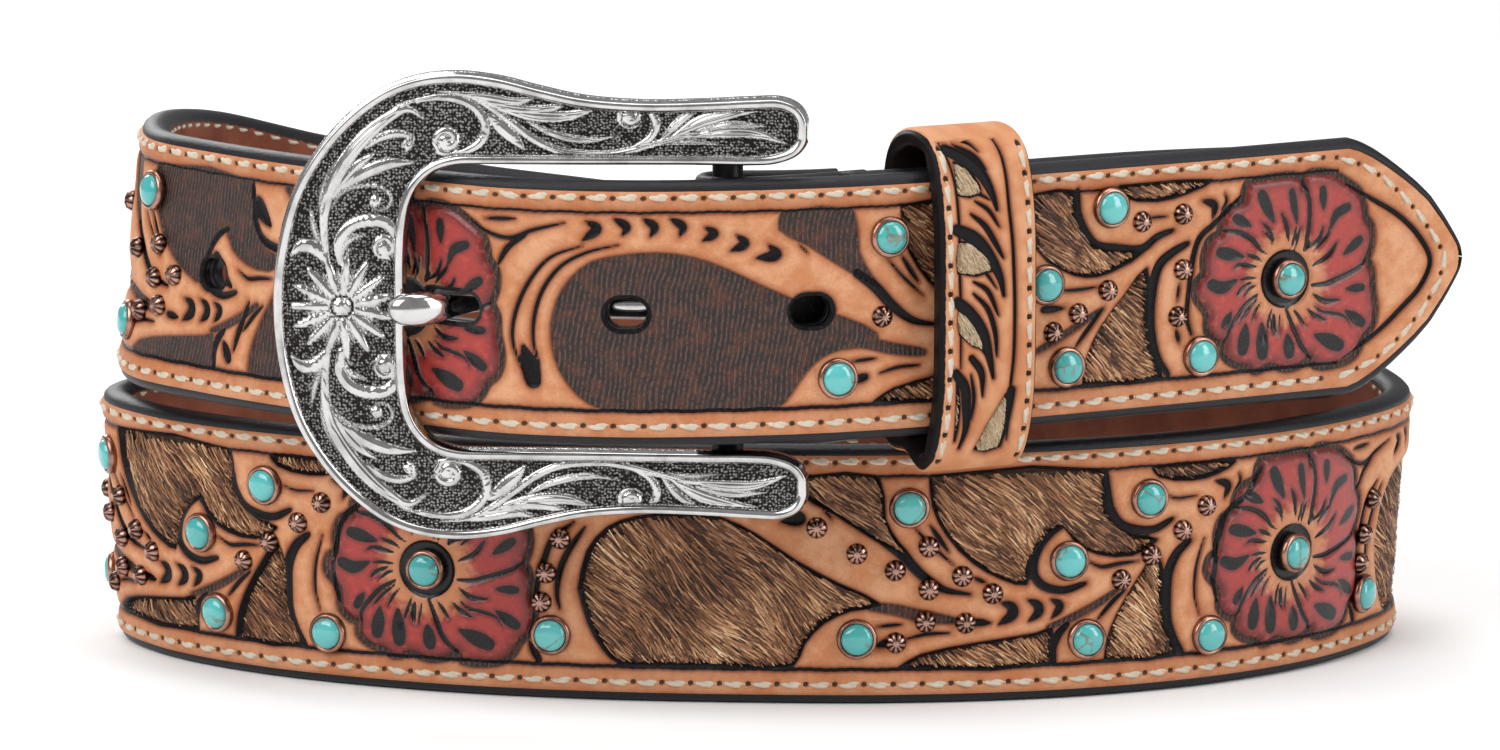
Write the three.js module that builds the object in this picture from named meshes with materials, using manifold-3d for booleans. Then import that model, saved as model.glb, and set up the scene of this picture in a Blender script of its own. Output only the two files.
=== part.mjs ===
// Western tooled belt, coiled twice and standing on its lower edge, buckled.
// Millimetres, +Z up. X runs along the front of the coil, the front faces -Y.

import * as THREE from "three";
import { mergeVertices } from "three/addons/utils/BufferGeometryUtils.js";
import Module from "manifold-3d";

const wasm = await Module();
wasm.setup();

// Strap and its three layers, measured outwards from the middle of its thickness.
const STRAP_WIDTH = 38;
const GAP = 0.3;
const BASE_INNER = -2.3;
const BASE_OUTER = -0.15;
const HIDE_INNER = BASE_OUTER + GAP;
const HIDE_OUTER = HIDE_INNER + 0.5;
const SKIN_INNER = HIDE_OUTER + GAP;
const SKIN_OUTER = 2.3;
const SKIN_INSET = 1.2;
const HIDE_INSET = 4;
const SLAB_LENGTH = 16;
const SLAB_TURN = 10;
const STRAP_END = 1081.9;
const TIP_LENGTH = 20;
const SKIN_START = 4;

// Holes for the prong: place along the strap and length, all at mid-width.
const HOLE_HEIGHT = 4.4;
const HOLES = [
  { s: 873, length: 5.8 },
  { s: 893.9, length: 5.8 },
  { s: 919.8, length: 10.4 },
  { s: 945.9, length: 5.8 },
  { s: 971.9, length: 5.8 },
];

// Buckle frame, an upright horseshoe in front of the strap, and its bar behind it.
const UPPER_RUN_Z = 41.5;
const FRAME_CENTRE_Z = UPPER_RUN_Z + STRAP_WIDTH / 2;
const FRAME_THICK = 3.4;
const FRAME_TURN = 0.055;
const FRAME_FRONT_Y = -65.6;
const FRAME_HEIGHT = 67.4;
const FRAME_OPENING = STRAP_WIDTH + 3;
const FRAME_LEFT = 67.5;
const FRAME_RIGHT = 9;
const FRAME_INNER_LEFT = 48.4;
const ARM_HEIGHT = 9.3;
const RIM = 1.5;
const DAISY_X = -57.6;
const RELIEF = 0.7;
const BAR_X = -2.5;
const BAR_Y = -62;
const BAR_RADIUS = 2.2;

// Fold of the buckle end round the bar.
const FOLD_WALL = 2.2;
const FOLD_RADIUS = BAR_RADIUS + GAP + FOLD_WALL / 2;
const FOLD_Z = UPPER_RUN_Z - 0.3;
const SLOT_HEIGHT = 7;

// Prong.
const PRONG_HEIGHT = 3.7;
const PRONG_Z = UPPER_RUN_Z + STRAP_WIDTH / 2;
const PRONG_RING = 1.9;

// Keeper loop round both runs of the strap.
const KEEPER_S = 996.6;
const KEEPER_WIDTH = 15.4;
const KEEPER_BOTTOM = UPPER_RUN_Z - 5.5;
const KEEPER_FRONT = 7.4;
const KEEPER_INNER_WALL = 1;
const KEEPER_SKIN = 0.9;
const KEEPER_HIDE = 0.35;
const KEEPER_GAP = 0.25;
// Its outline from the side: it bows forward, and its bottom steps up over the lower run.
// Columns: back from the front, up from the bottom.
const KEEPER_OUTLINE = [
  [0, 24.6], [0.4, 12], [1.9, 5.4], [4, 1.7], [7.5, 0], [10.2, 0.8], [12.2, 2.1], [15.8, 2.15],
  [18.3, 3], [19.3, 5.4], [19.3, 16], [19.3, 32], [19.1, 42], [17.1, 46.8], [12.6, 49.2],
  [7, 49], [3.8, 47.2], [1.9, 43.8], [0.4, 37],
];

// Studs: domed stones in cups, and small domed rivets.
const STONE_RADIUS = 2.15;
const CUP_RADIUS = 2.9;
const CUP_HEIGHT = 1.1;
const STUD_HEIGHT = 2;
const RIVET_RADIUS = 1.45;
const RIVET_HEIGHT = 0.9;
const SEAT = 0.3;
const OWN_STUDS = 40;

// Path of the strap's lower edge, from the fold behind the buckle, twice round to the tip.
// Columns: x, y, z in mm, lean of the upper edge outwards in degrees.
const PATH = [
  [13.632, -59.968, 41.2, 0], [28, -53.4, 41.2, 0], [42, -45.4, 41.2, 0], [57, -36.9, 41.1, 0],
  [73, -26.7, 40.4, 0], [84, -12, 38.6, 0], [86.5, 6, 35.8, 0], [83.5, 22, 33, 0],
  [76, 36, 30, 0], [60.5, 48.7, 26.6, 0], [38, 57.5, 23, 0], [10, 61, 19.5, 0],
  [-18, 60.5, 14, 0], [-44, 54.5, 8.4, 0], [-65, 44.4, 3.6, 0.7], [-80, 28.5, 0.3, 1.8],
  [-91.9, 6, 0, 4], [-85.7, -10.8, 0, 3.2], [-70.2, -26.2, 0, 1.8], [-48, -38.1, 0, 0.6],
  [-25, -44.8, 0, 0], [0, -47.9, 0, 0], [24, -48.1, 0, 0], [47.9, -43.3, 0, 0.4],
  [70, -31.9, 0, 1.5], [86.6, -14.9, 0, 3], [95.4, 6, 0, 4], [91, 27, 1.2, 3.3],
  [80, 44, 4, 2], [62, 57, 8.5, 1], [38, 65.5, 13, 0.3], [10, 69, 17.5, 0],
  [-18, 68.5, 21.8, 0], [-44, 63, 26, -0.6], [-66, 52.3, 31.8, -1.8], [-82, 36, 37.6, -3.4],
  [-90.3, 14, 40.6, -5.2], [-89.3, -17, 41.5, -6], [-78.1, -31.8, 41.5, -4.4],
  [-63.4, -46, 41.5, -2.4], [-45.5, -59.4, 41.5, -0.8], [-32.7, -67.1, 41.5, 0],
  [-17.8, -70.4, 41.5, 0], [-3, -69.6, 41.5, 0], [11.9, -66.4, 41.5, 0],
  [26.7, -60.3, 41.5, 0], [44.4, -50.7, 41.5, 0], [64.5, -39.2, 41.5, 0],
  [84.4, -26.9, 41.5, 0], [102.1, -15.5, 41.5, 0], [109, -11, 41.5, 0],
];

// Repeats of the pattern, each from one flower centre to the next.
// Columns: s of the first flower, length, whether all its windows are cut through. The
// last has only its oval window cut through, and the prong's holes follow it.
const CELL_LENGTH = 131.3;
const CELLS = [
  { s: 13.3, length: CELL_LENGTH, pierced: true },
  { s: 13.3 + CELL_LENGTH, length: CELL_LENGTH, pierced: true },
  { s: 13.3 + 2 * CELL_LENGTH, length: CELL_LENGTH, pierced: true },
  { s: 13.3 + 3 * CELL_LENGTH, length: CELL_LENGTH, pierced: true },
  { s: 538.5, length: 124.7, pierced: true },
  { s: 663.2, length: 124.7, pierced: true },
  { s: 787.9, length: 124.8, pierced: false },
];
const LAST_CELL = CELLS[CELLS.length - 1];

// Windows of one repeat that show the hair-on hide. Columns: along from the flower, up.
const CELL_WINDOWS = {
  oval: [[22.7, 16.5], [24.4, 11.5], [26.5, 7.8], [29, 5.7], [54, 5.7], [55.2, 9],
    [58.2, 12.2], [66, 14.6], [54, 21.1], [48, 25], [43, 27.3], [37, 27.8], [28, 26.4],
    [24, 22.6]],
  top_triangle: [[55.4, 33.6], [55, 30.9], [62.3, 26.5], [70, 21.5], [66.7, 27.3],
    [65.9, 33.6]],
  large: [[73.2, 33.6], [73.7, 29], [75.7, 24.8], [79.5, 20.7], [83.7, 18.2], [87.4, 17.2],
    [88.2, 19.8], [91.6, 24.4], [93.4, 25], [96, 22], [103.2, 20.8], [107, 23],
    [103.2, 24], [100.7, 26.5], [99.5, 33.6]],
  low_sliver: [[69, 5.5], [72, 7.2], [88.7, 9.9], [92, 10.7], [92, 5.5]],
  top_sliver: [[106, 33.4], [106.6, 32], [112.7, 31.1], [117, 31.7], [120, 33.2]],
  low_triangle: [[99.1, 5.4], [100.7, 9], [104.9, 15.3], [109.8, 20], [109.5, 14],
    [111, 5.4]],
};

// Windows between the keeper and the flower on the tip. Columns: s, up.
const TIP_WINDOWS = [
  [[1006.7, 34], [1007.2, 25.6], [1011.3, 22.6], [1015.4, 21.2], [1019.4, 21.6], [1025.4, 24.2],
    [1019.2, 24.8], [1015.8, 26.6], [1014, 30], [1013.7, 34]],
  [[1020.9, 33.9], [1021.4, 32.5], [1027.5, 31.4], [1032.5, 32.2], [1036.7, 33.7]],
  [[1015, 5.6], [1016.7, 9.8], [1020.9, 15], [1025.4, 19.7], [1026, 14], [1027.4, 9.8],
    [1029.6, 5.6]],
];

// Stones and rivets of one repeat, then those of the front of the upper run.
const CELL_STONES = [[18.7, 9.6], [62.8, 9.8], [70.2, 29], [93.3, 20.5], [96, 8.8],
  [105.5, 28.9], [115.7, 7.8], [131.3, 17.6]];
const CELL_RIVETS = [[20.1, 23.8], [18, 18.7], [17.3, 14.4], [57.1, 26.1], [62.8, 22.3],
  [68.2, 19.8], [73, 16.9], [73, 23.2], [77.8, 18.8], [82.2, 16.1], [68.3, 9.2],
  [72.5, 12.2], [78.3, 11.9], [101.3, 17.2], [106, 20.5], [111, 23.8], [114.9, 27.1]];
const UPPER_STONES = [[851.4, 9.5], [857.4, 29.5], [975.5, 9.3], [983.2, 29.2], [1008.3, 20.6],
  [1011.8, 8.4], [1019.2, 31], [1034.6, 8.2], [1050, 18.2]];
const UPPER_RIVETS = [[852.9, 20.5], [860.2, 21.9], [859.5, 16.9], [864.5, 17.8],
  [856.2, 11.7], [861.2, 13], [982.1, 17.8], [1009.6, 13.6], [1013.8, 16], [1018.8, 19],
  [1024.5, 28.6], [1031.5, 29.2], [1031.5, 21.1], [1030.6, 14.3]];
const STUDS_FROM = 118;
const UPPER_FROM = 846;

const MATERIALS = {
  russet: new THREE.MeshStandardMaterial({ color: 0x7a4028, roughness: 0.6 }),
  hair: new THREE.MeshStandardMaterial({ color: 0x6b4a30, roughness: 0.8 }),
  tan: new THREE.MeshStandardMaterial({ color: 0xdea070, roughness: 0.5 }),
  silver: new THREE.MeshStandardMaterial({ color: 0xb8b8b8, roughness: 0.3, metalness: 1 }),
  blond: new THREE.MeshStandardMaterial({ color: 0xc8aa82, roughness: 0.8 }),
  turquoise: new THREE.MeshStandardMaterial({ color: 0x50b9b4, roughness: 0.3 }),
};

// Solids and meshes.

function toSolid(geometry) {
  const bare = geometry.index ? geometry.clone() : geometry;
  for (const name of Object.keys(bare.attributes)) {
    if (name !== "position") bare.deleteAttribute(name);
  }
  const merged = mergeVertices(bare, 1e-4);
  return new wasm.Manifold(new wasm.Mesh({
    numProp: 3,
    vertProperties: new Float32Array(merged.attributes.position.array),
    triVerts: new Uint32Array(merged.index.array),
  }));
}

function toGeometry(solid) {
  const mesh = solid.getMesh();
  const geometry = new THREE.BufferGeometry();
  geometry.setAttribute("position", new THREE.BufferAttribute(mesh.vertProperties, 3));
  geometry.setIndex(new THREE.BufferAttribute(mesh.triVerts, 1));
  return geometry;
}

function outline(points) {
  const shape = new THREE.Shape();
  points.forEach(([x, y], i) => (i ? shape.lineTo(x, y) : shape.moveTo(x, y)));
  shape.closePath();
  return shape;
}

function extrude(shape, depth, curveSegments = 6) {
  return new THREE.ExtrudeGeometry(shape, { depth, bevelEnabled: false, curveSegments });
}

function slot(x, y, length, height) {
  const r = height / 2;
  const reach = length / 2 - r;
  const shape = new THREE.Shape();
  shape.moveTo(x - reach, y - r);
  shape.lineTo(x + reach, y - r);
  shape.absarc(x + reach, y, r, -Math.PI / 2, Math.PI / 2, false);
  shape.lineTo(x - reach, y + r);
  shape.absarc(x - reach, y, r, Math.PI / 2, Math.PI * 1.5, false);
  return shape;
}

function ellipse(x, y, rx, ry) {
  const shape = new THREE.Shape();
  shape.absellipse(x, y, rx, ry, 0, Math.PI * 2, false);
  return shape;
}

// The strap's frame at each millimetre of its path.

const curve = new THREE.CatmullRomCurve3(
  PATH.map(([x, y, z]) => new THREE.Vector3(x, y, z)), false, "centripetal");
const leanCurve = new THREE.CatmullRomCurve3(
  PATH.map(([, , , lean], i) => new THREE.Vector3(i, lean, 0)), false, "centripetal");

function walkPath() {
  const steps = (PATH.length - 1) * 60;
  const stations = [];
  let last = curve.getPoint(0);
  let length = 0;
  for (let i = 0; i <= steps; i += 1) {
    const point = curve.getPoint(i / steps);
    length += point.distanceTo(last);
    last = point;
    const along = curve.getTangent(i / steps).normalize();
    const up = new THREE.Vector3(0, 0, 1);
    const out = new THREE.Vector3().crossVectors(along, up).normalize();
    const lean = THREE.MathUtils.degToRad(leanCurve.getPoint(i / steps).y);
    const leanUp = up.clone().multiplyScalar(Math.cos(lean)).addScaledVector(out, Math.sin(lean));
    const leanOut = out.clone().multiplyScalar(Math.cos(lean)).addScaledVector(up, -Math.sin(lean));
    stations.push({ s: length, point, along, up: leanUp, out: leanOut });
  }
  return stations;
}

// The strap is straight from one of these stations to the next.
function pickStations(stations) {
  const picked = [stations[0]];
  for (const station of stations) {
    const last = picked[picked.length - 1];
    const turn = THREE.MathUtils.radToDeg(station.out.angleTo(last.out));
    if (turn > SLAB_TURN || station.s - last.s > SLAB_LENGTH) picked.push(station);
  }
  picked.push(stations[stations.length - 1]);
  return picked;
}

const STATIONS = pickStations(walkPath());

function stationAt(s) {
  let low = 0;
  let high = STATIONS.length - 1;
  while (high - low > 1) {
    const middle = (low + high) >> 1;
    if (STATIONS[middle].s > s) high = middle;
    else low = middle;
  }
  const a = STATIONS[low];
  const b = STATIONS[high];
  const k = (s - a.s) / (b.s - a.s);
  return {
    point: a.point.clone().lerp(b.point, k),
    along: b.point.clone().sub(a.point).normalize(),
    up: a.up.clone().lerp(b.up, k),
    out: a.out.clone().lerp(b.out, k),
  };
}

// A point at s along the strap, t up from its lower edge, n out from its middle.
function onStrap(s, t, n) {
  const f = stationAt(s);
  return f.point.clone().addScaledVector(f.up, t).addScaledVector(f.out, n);
}

// Places a solid made upright at the origin (x along, y up the strap, z outwards).
function seatOnStrap(geometry, s, t, n) {
  const f = stationAt(s);
  const up = f.up.clone().normalize();
  const out = new THREE.Vector3().crossVectors(f.along, up).normalize();
  const matrix = new THREE.Matrix4().makeBasis(f.along, up, out);
  matrix.setPosition(onStrap(s, t, n));
  return geometry.applyMatrix4(matrix);
}

// How the tip narrows. Columns: share of the tip's length from its end, share of the width.
const TIP_SHAPE = [[1, 1], [0.8, 0.92], [0.55, 0.75], [0.3, 0.53], [0.1, 0.26], [0, 0]];

// Outline of the strap laid flat, its tip a blunt point, inset from the edge.
function strapOutline(start, inset) {
  const middle = STRAP_WIDTH / 2;
  const half = middle - inset;
  const end = STRAP_END - inset;
  const shape = new THREE.Shape();
  shape.moveTo(start, inset);
  TIP_SHAPE.forEach(([back, wide]) => shape.lineTo(end - back * TIP_LENGTH, middle - wide * half));
  [...TIP_SHAPE].reverse().slice(1)
    .forEach(([back, wide]) => shape.lineTo(end - back * TIP_LENGTH, middle + wide * half));
  shape.lineTo(start, STRAP_WIDTH - inset);
  shape.closePath();
  return shape;
}

function flatPrism(shape, inner, outer) {
  const geometry = extrude(shape, outer - inner, 5);
  geometry.translate(0, 0, inner);
  return toSolid(geometry);
}

// One layer of the strap: cut flat in short slabs, so that it can bend between them.
function strapLayer(start, inset, inner, outer, windows) {
  const blank = flatPrism(strapOutline(start, inset), inner, outer);
  const cuts = [...windows.map(outline), ...HOLES.map((hole) =>
    slot(hole.s, STRAP_WIDTH / 2, hole.length, HOLE_HEIGHT))];
  const prisms = cuts.map((shape) => ({
    solid: flatPrism(shape, inner - 1, outer + 1),
    left: Math.min(...shape.getPoints(5).map((p) => p.x)),
    right: Math.max(...shape.getPoints(5).map((p) => p.x)),
  }));
  const positions = [];
  const end = STRAP_END - inset;
  const between = STATIONS.map((station) => station.s).filter((s) => s > start + 1 && s < end - 1);
  const joints = [start, ...between, end];
  const count = joints.length - 1;
  for (let i = 0; i < count; i += 1) {
    const [left, right] = [joints[i], joints[i + 1]];
    const box = new THREE.BoxGeometry(right - left, STRAP_WIDTH + 2, outer - inner + 2);
    box.translate((left + right) / 2, STRAP_WIDTH / 2, (inner + outer) / 2);
    let slab = toSolid(box).intersect(blank);
    for (const prism of prisms) {
      if (prism.left < right && prism.right > left) slab = slab.subtract(prism.solid);
    }
    const mesh = slab.getMesh();
    for (let k = 0; k < mesh.triVerts.length; k += 3) {
      const corners = [0, 1, 2].map((j) => {
        const v = mesh.triVerts[k + j] * 3;
        return [...mesh.vertProperties.slice(v, v + 3)];
      });
      const joins = (x) => corners.every((corner) => Math.abs(corner[0] - x) < 1e-3);
      const inside = (i > 0 && joins(left)) || (i < count - 1 && joins(right));
      if (!inside) corners.forEach((corner) => positions.push(...corner));
    }
  }
  const flat = new THREE.BufferGeometry();
  flat.setAttribute("position", new THREE.Float32BufferAttribute(positions, 3));
  const welded = mergeVertices(flat, 2e-3);
  const place = welded.attributes.position;
  for (let i = 0; i < place.count; i += 1) {
    const p = onStrap(place.getX(i), place.getY(i), place.getZ(i));
    place.setXYZ(i, p.x, p.y, Math.max(0, p.z));
  }
  return toSolid(welded);
}

// Where the windows, stones and rivets come along the whole strap.

function inCells(rows, pierced) {
  const placed = [];
  for (const cell of CELLS) {
    if (pierced && !cell.pierced) continue;
    const scale = cell.length / CELL_LENGTH;
    placed.push(...rows.map((row) => row.map(([u, t]) => [cell.s + u * scale, t])));
  }
  return placed;
}

const WINDOWS = [
  ...inCells(Object.values(CELL_WINDOWS), true).filter((row) => row[0][0] > 24),
  CELL_WINDOWS.oval.map(([u, t]) => [LAST_CELL.s + (u * LAST_CELL.length) / CELL_LENGTH, t]),
  ...TIP_WINDOWS,
];

function spots(rows, upper) {
  const inRepeats = inCells(rows.map((row) => [row]), false).map(([row]) => row);
  return [...inRepeats.filter(([s]) => s > STUDS_FROM && s < UPPER_FROM), ...upper];
}

function studGeometry(sides) {
  const profile = [
    [0, 0], [CUP_RADIUS, 0], [CUP_RADIUS, CUP_HEIGHT], [STONE_RADIUS * 0.72, STUD_HEIGHT * 0.9],
    [0, STUD_HEIGHT],
  ];
  const lathe = new THREE.LatheGeometry(profile.map(([r, h]) => new THREE.Vector2(r, h)), sides);
  lathe.rotateX(Math.PI / 2);
  return lathe;
}

function rivetGeometry() {
  const height = RIVET_HEIGHT + SEAT;
  const dome = new THREE.CylinderGeometry(RIVET_RADIUS * 0.5, RIVET_RADIUS, height, 5);
  dome.rotateX(Math.PI / 2);
  dome.translate(0, 0, height / 2);
  return dome;
}

// Buckle frame outlines in the frame's own plane: x across, y up from its centre.

function frameOuter(inset) {
  const half = FRAME_HEIGHT / 2 - inset;
  const neck = FRAME_OPENING / 2 + inset;
  const arm = FRAME_OPENING / 2 + ARM_HEIGHT - inset;
  const left = -FRAME_LEFT + inset;
  const inner = -FRAME_INNER_LEFT - inset;
  const end = FRAME_RIGHT - inset;
  const shape = new THREE.Shape();
  shape.moveTo(2.4, arm);
  shape.bezierCurveTo(-14, arm, -25, arm - 0.6, -41.3, half);
  shape.bezierCurveTo(left + 11, half, left, half * 0.6, left, 0);
  shape.bezierCurveTo(left, -half * 0.6, left + 11, -half, -41.3, -half);
  shape.bezierCurveTo(-25, -arm + 0.6, -14, -arm, 2.4, -arm);
  shape.bezierCurveTo(end + 2.2, -arm, end + 2.2, -neck, 2.4, -neck);
  shape.lineTo(inner + 8, -neck);
  shape.bezierCurveTo(inner + 3, -neck, inner, -neck + 3, inner, -neck + 8);
  shape.lineTo(inner, neck - 8);
  shape.bezierCurveTo(inner, neck - 3, inner + 3, neck, inner + 8, neck);
  shape.lineTo(2.4, neck);
  shape.bezierCurveTo(end + 2.2, neck, end + 2.2, arm, 2.4, arm);
  return shape;
}

function petalFlower(x, y, inner, outer, petals) {
  const points = [];
  for (let i = 0; i < petals * 2; i += 1) {
    const angle = (i / (petals * 2)) * Math.PI * 2;
    const r = i % 2 ? inner : outer;
    points.push([x + r * Math.cos(angle), y + r * Math.sin(angle)]);
  }
  return outline(points);
}

// A raised leaf or scroll: a tapering band along a curve through a few points,
// given as the four-sided outlines that make it up.
function sprig(points, width) {
  const spine = new THREE.CatmullRomCurve3(points.map(([x, y]) => new THREE.Vector3(x, y, 0)));
  const steps = 3;
  const edge = (i, side, overlap) => {
    const u = THREE.MathUtils.clamp((i + overlap) / steps, 0, 1);
    const p = spine.getPoint(u);
    const d = spine.getTangent(u);
    const w = side * (width / 2) * (0.25 + Math.sin(Math.PI * Math.min(1, 0.12 + u)) * 0.85);
    return [p.x - d.y * w, p.y + d.x * w];
  };
  const parts = [];
  for (let i = 0; i < steps; i += 1) {
    parts.push(outline([edge(i, -1, 0), edge(i + 1, -1, 0.06), edge(i + 1, 1, 0.06), edge(i, 1, 0)]));
  }
  return parts;
}

// Raised scrolls of the upper half; the lower half mirrors them. Columns: points, width.
const SPRIGS = [
  { points: [[-60, 9], [-60.5, 16], [-54, 26], [-45, 30]], width: 3 },
  { points: [[-56, 9.5], [-55.5, 12.5], [-51.5, 13]], width: 2.4 },
  { points: [[-58, 17], [-54, 20], [-49, 20.5]], width: 2.4 },
  { points: [[-41, 30], [-32, 28], [-24, 23.6], [-16, 25.5]], width: 2.8 },
  { points: [[-12, 24], [-6, 26.5], [-1, 25], [3, 26]], width: 2.6 },
];
// Round knobs where the scrolls curl in. Columns: x, y, radius.
const KNOBS = [[-52.5, 9.5, 1.8], [-43.5, 24.5, 1.7], [-16, 26.5, 1.7]];

function buckleFrame() {
  const plate = extrude(frameOuter(0), FRAME_THICK, 4);
  let frame = toSolid(plate);
  const rimOuter = toSolid(extrude(frameOuter(0), RELIEF + SEAT, 4).translate(0, 0, -RELIEF));
  const rimHole = toSolid(extrude(frameOuter(RIM), RELIEF + 2, 4).translate(0, 0, -RELIEF - 1));
  frame = frame.add(rimOuter.subtract(rimHole));
  const raise = (shape, height) => {
    frame = frame.add(toSolid(extrude(shape, height + SEAT).translate(0, 0, -height)));
  };
  raise(petalFlower(DAISY_X, 0, 3.4, 6.8, 14), RELIEF);
  raise(ellipse(DAISY_X, 0, 1.6, 1.6), RELIEF * 1.5);
  for (const side of [1, -1]) {
    for (const row of SPRIGS) {
      const points = row.points.map(([x, y]) => [x, y * side]);
      sprig(points, row.width).forEach((shape) => raise(shape, RELIEF * 0.8));
    }
    KNOBS.forEach(([x, y, r]) => raise(ellipse(x, y * side, r, r), RELIEF));
  }
  // The extrusion's z runs backwards from the front face: x across, z up, y back.
  const geometry = toGeometry(frame);
  geometry.applyMatrix4(new THREE.Matrix4().set(1, 0, 0, 0, 0, 0, 1, 0, 0, -1, 0, 0, 0, 0, 0, 1));
  geometry.rotateZ(-FRAME_TURN);
  geometry.translate(0, FRAME_FRONT_Y - FRAME_THICK / 2, FRAME_CENTRE_Z);
  return toSolid(geometry);
}

function frameBar() {
  const length = FRAME_OPENING + 8;
  const bar = new THREE.CylinderGeometry(BAR_RADIUS, BAR_RADIUS, length, 10);
  bar.rotateX(Math.PI / 2);
  bar.translate(BAR_X, BAR_Y, FRAME_CENTRE_Z);
  let solid = toSolid(bar);
  for (const side of [1, -1]) {
    const lug = new THREE.BoxGeometry(5.6, 5, 4.6);
    lug.translate(BAR_X, BAR_Y - 0.3, FRAME_CENTRE_Z + side * (FRAME_OPENING / 2 + 3));
    solid = solid.add(toSolid(lug));
  }
  return solid;
}

// Fold of the strap's end round the bar, seen from above, with its slot for the prong.
const FOLD_PATH = [
  [17, -57.2], [9, -61.6], [3, -64.4], [BAR_X, BAR_Y - FOLD_RADIUS],
  [BAR_X - 0.71 * FOLD_RADIUS, BAR_Y - 0.71 * FOLD_RADIUS], [BAR_X - FOLD_RADIUS, BAR_Y],
  [BAR_X - 0.71 * FOLD_RADIUS, BAR_Y + 0.71 * FOLD_RADIUS], [BAR_X, BAR_Y + FOLD_RADIUS],
  [4, -58.1], [9, -57.3], [13, -56],
];

function foldRoundBar() {
  const spine = new THREE.CatmullRomCurve3(FOLD_PATH.map(([x, y]) => new THREE.Vector3(x, y, 0)));
  const left = [];
  const right = [];
  const steps = 34;
  for (let i = 0; i <= steps; i += 1) {
    const p = spine.getPoint(i / steps);
    const d = spine.getTangent(i / steps);
    left.push([p.x - (d.y * FOLD_WALL) / 2, p.y + (d.x * FOLD_WALL) / 2]);
    right.unshift([p.x + (d.y * FOLD_WALL) / 2, p.y - (d.x * FOLD_WALL) / 2]);
  }
  const wall = extrude(outline([...left, ...right]), STRAP_WIDTH);
  wall.translate(0, 0, FOLD_Z);
  const slot = new THREE.BoxGeometry(12, 14, SLOT_HEIGHT);
  slot.translate(BAR_X - 0.5, BAR_Y, FOLD_Z + STRAP_WIDTH / 2);
  return toSolid(wall).subtract(toSolid(slot));
}

// Prong: a ring on the bar and an arm through the strap to the frame's left rim.
const PRONG_PLAN = [
  [-5, -63.4], [-16, -64.6], [-27, -63.2], [-34.5, -60.5], [-41, -63.2], [-46, -66.8],
  [-49.5, -68.4], [-53, -68.6],
];

function prong() {
  const ringShape = ellipse(BAR_X, BAR_Y, BAR_RADIUS + GAP + PRONG_RING, BAR_RADIUS + GAP + PRONG_RING);
  ringShape.holes.push(ellipse(BAR_X, BAR_Y, BAR_RADIUS + GAP, BAR_RADIUS + GAP));
  const ring = extrude(ringShape, PRONG_HEIGHT, 6);
  ring.translate(0, 0, PRONG_Z - PRONG_HEIGHT / 2);
  const spine = new THREE.CatmullRomCurve3(PRONG_PLAN.map(([x, y]) => new THREE.Vector3(x, y, 0)));
  const front = [];
  const back = [];
  const steps = 14;
  for (let i = 0; i <= steps; i += 1) {
    const p = spine.getPoint(i / steps);
    const d = spine.getTangent(i / steps);
    const w = i === steps ? 0.6 : 1.05;
    front.push([p.x - d.y * w, p.y + d.x * w]);
    back.unshift([p.x + d.y * w, p.y - d.x * w]);
  }
  const arm = extrude(outline([...front, ...back]), PRONG_HEIGHT);
  arm.translate(0, 0, PRONG_Z - PRONG_HEIGHT / 2);
  return toSolid(ring).add(toSolid(arm));
}

// Keeper: upright rounded loops, made with x back from its front and y up, along z.

function keeperBlank(inset) {
  const loop = new THREE.CatmullRomCurve3(
    KEEPER_OUTLINE.map(([x, y]) => new THREE.Vector3(x, y, 0)), true, "centripetal");
  const points = loop.getPoints(40).slice(0, -1).map((p) => [p.x, p.y]);
  const section = new wasm.CrossSection([points]).offset(-inset, "Miter");
  return section.extrude(KEEPER_WIDTH, 0, 0, [1, 1], true);
}

function keeperRing(inset, wall) {
  return keeperBlank(inset).subtract(keeperBlank(inset + wall));
}

// Windows in the keeper's front. Columns: across from its left edge, up from its bottom.
const KEEPER_WINDOWS = [
  [[2.6, 45], [2.6, 41.2], [6.6, 41], [4.5, 43.6]],
  [[3.2, 35], [3.2, 29.6], [8, 29.8], [6.4, 32.6]],
  [[3.2, 24], [3.2, 19.6], [6.6, 18.4], [5.2, 21.6]],
  [[8.6, 3.4], [10.5, 5.6], [11.8, 10], [12.2, 3.4]],
];

function seatKeeper(solid) {
  const f = stationAt(KEEPER_S);
  const flatAlong = new THREE.Vector3(f.along.x, f.along.y, 0).normalize();
  const back = new THREE.Vector3(-f.out.x, -f.out.y, 0).normalize();
  const matrix = new THREE.Matrix4().makeBasis(back, new THREE.Vector3(0, 0, 1), flatAlong);
  const origin = onStrap(KEEPER_S, 0, KEEPER_FRONT);
  matrix.setPosition(origin.x, origin.y, KEEPER_BOTTOM);
  const geometry = toGeometry(solid).applyMatrix4(matrix);
  return geometry;
}

function keeperParts() {
  const under = KEEPER_SKIN + KEEPER_GAP;
  let skin = keeperRing(0, KEEPER_SKIN);
  for (const row of KEEPER_WINDOWS) {
    const cutter = extrude(outline(row.map(([x, y]) => [x - KEEPER_WIDTH / 2, y])), 6);
    cutter.rotateY(-Math.PI / 2);
    cutter.translate(5, 0, 0);
    skin = skin.subtract(toSolid(cutter));
  }
  const frontOnly = new THREE.BoxGeometry(8, 44, KEEPER_WIDTH - 3);
  frontOnly.translate(0.5, 24, 0);
  return {
    keeper_base: seatKeeper(keeperRing(under + KEEPER_HIDE + KEEPER_GAP, KEEPER_INNER_WALL)),
    keeper_hide: seatKeeper(keeperRing(under, KEEPER_HIDE).intersect(toSolid(frontOnly))),
    keeper_skin: seatKeeper(skin),
  };
}

// Assembly.

const belt = new THREE.Group();

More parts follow.
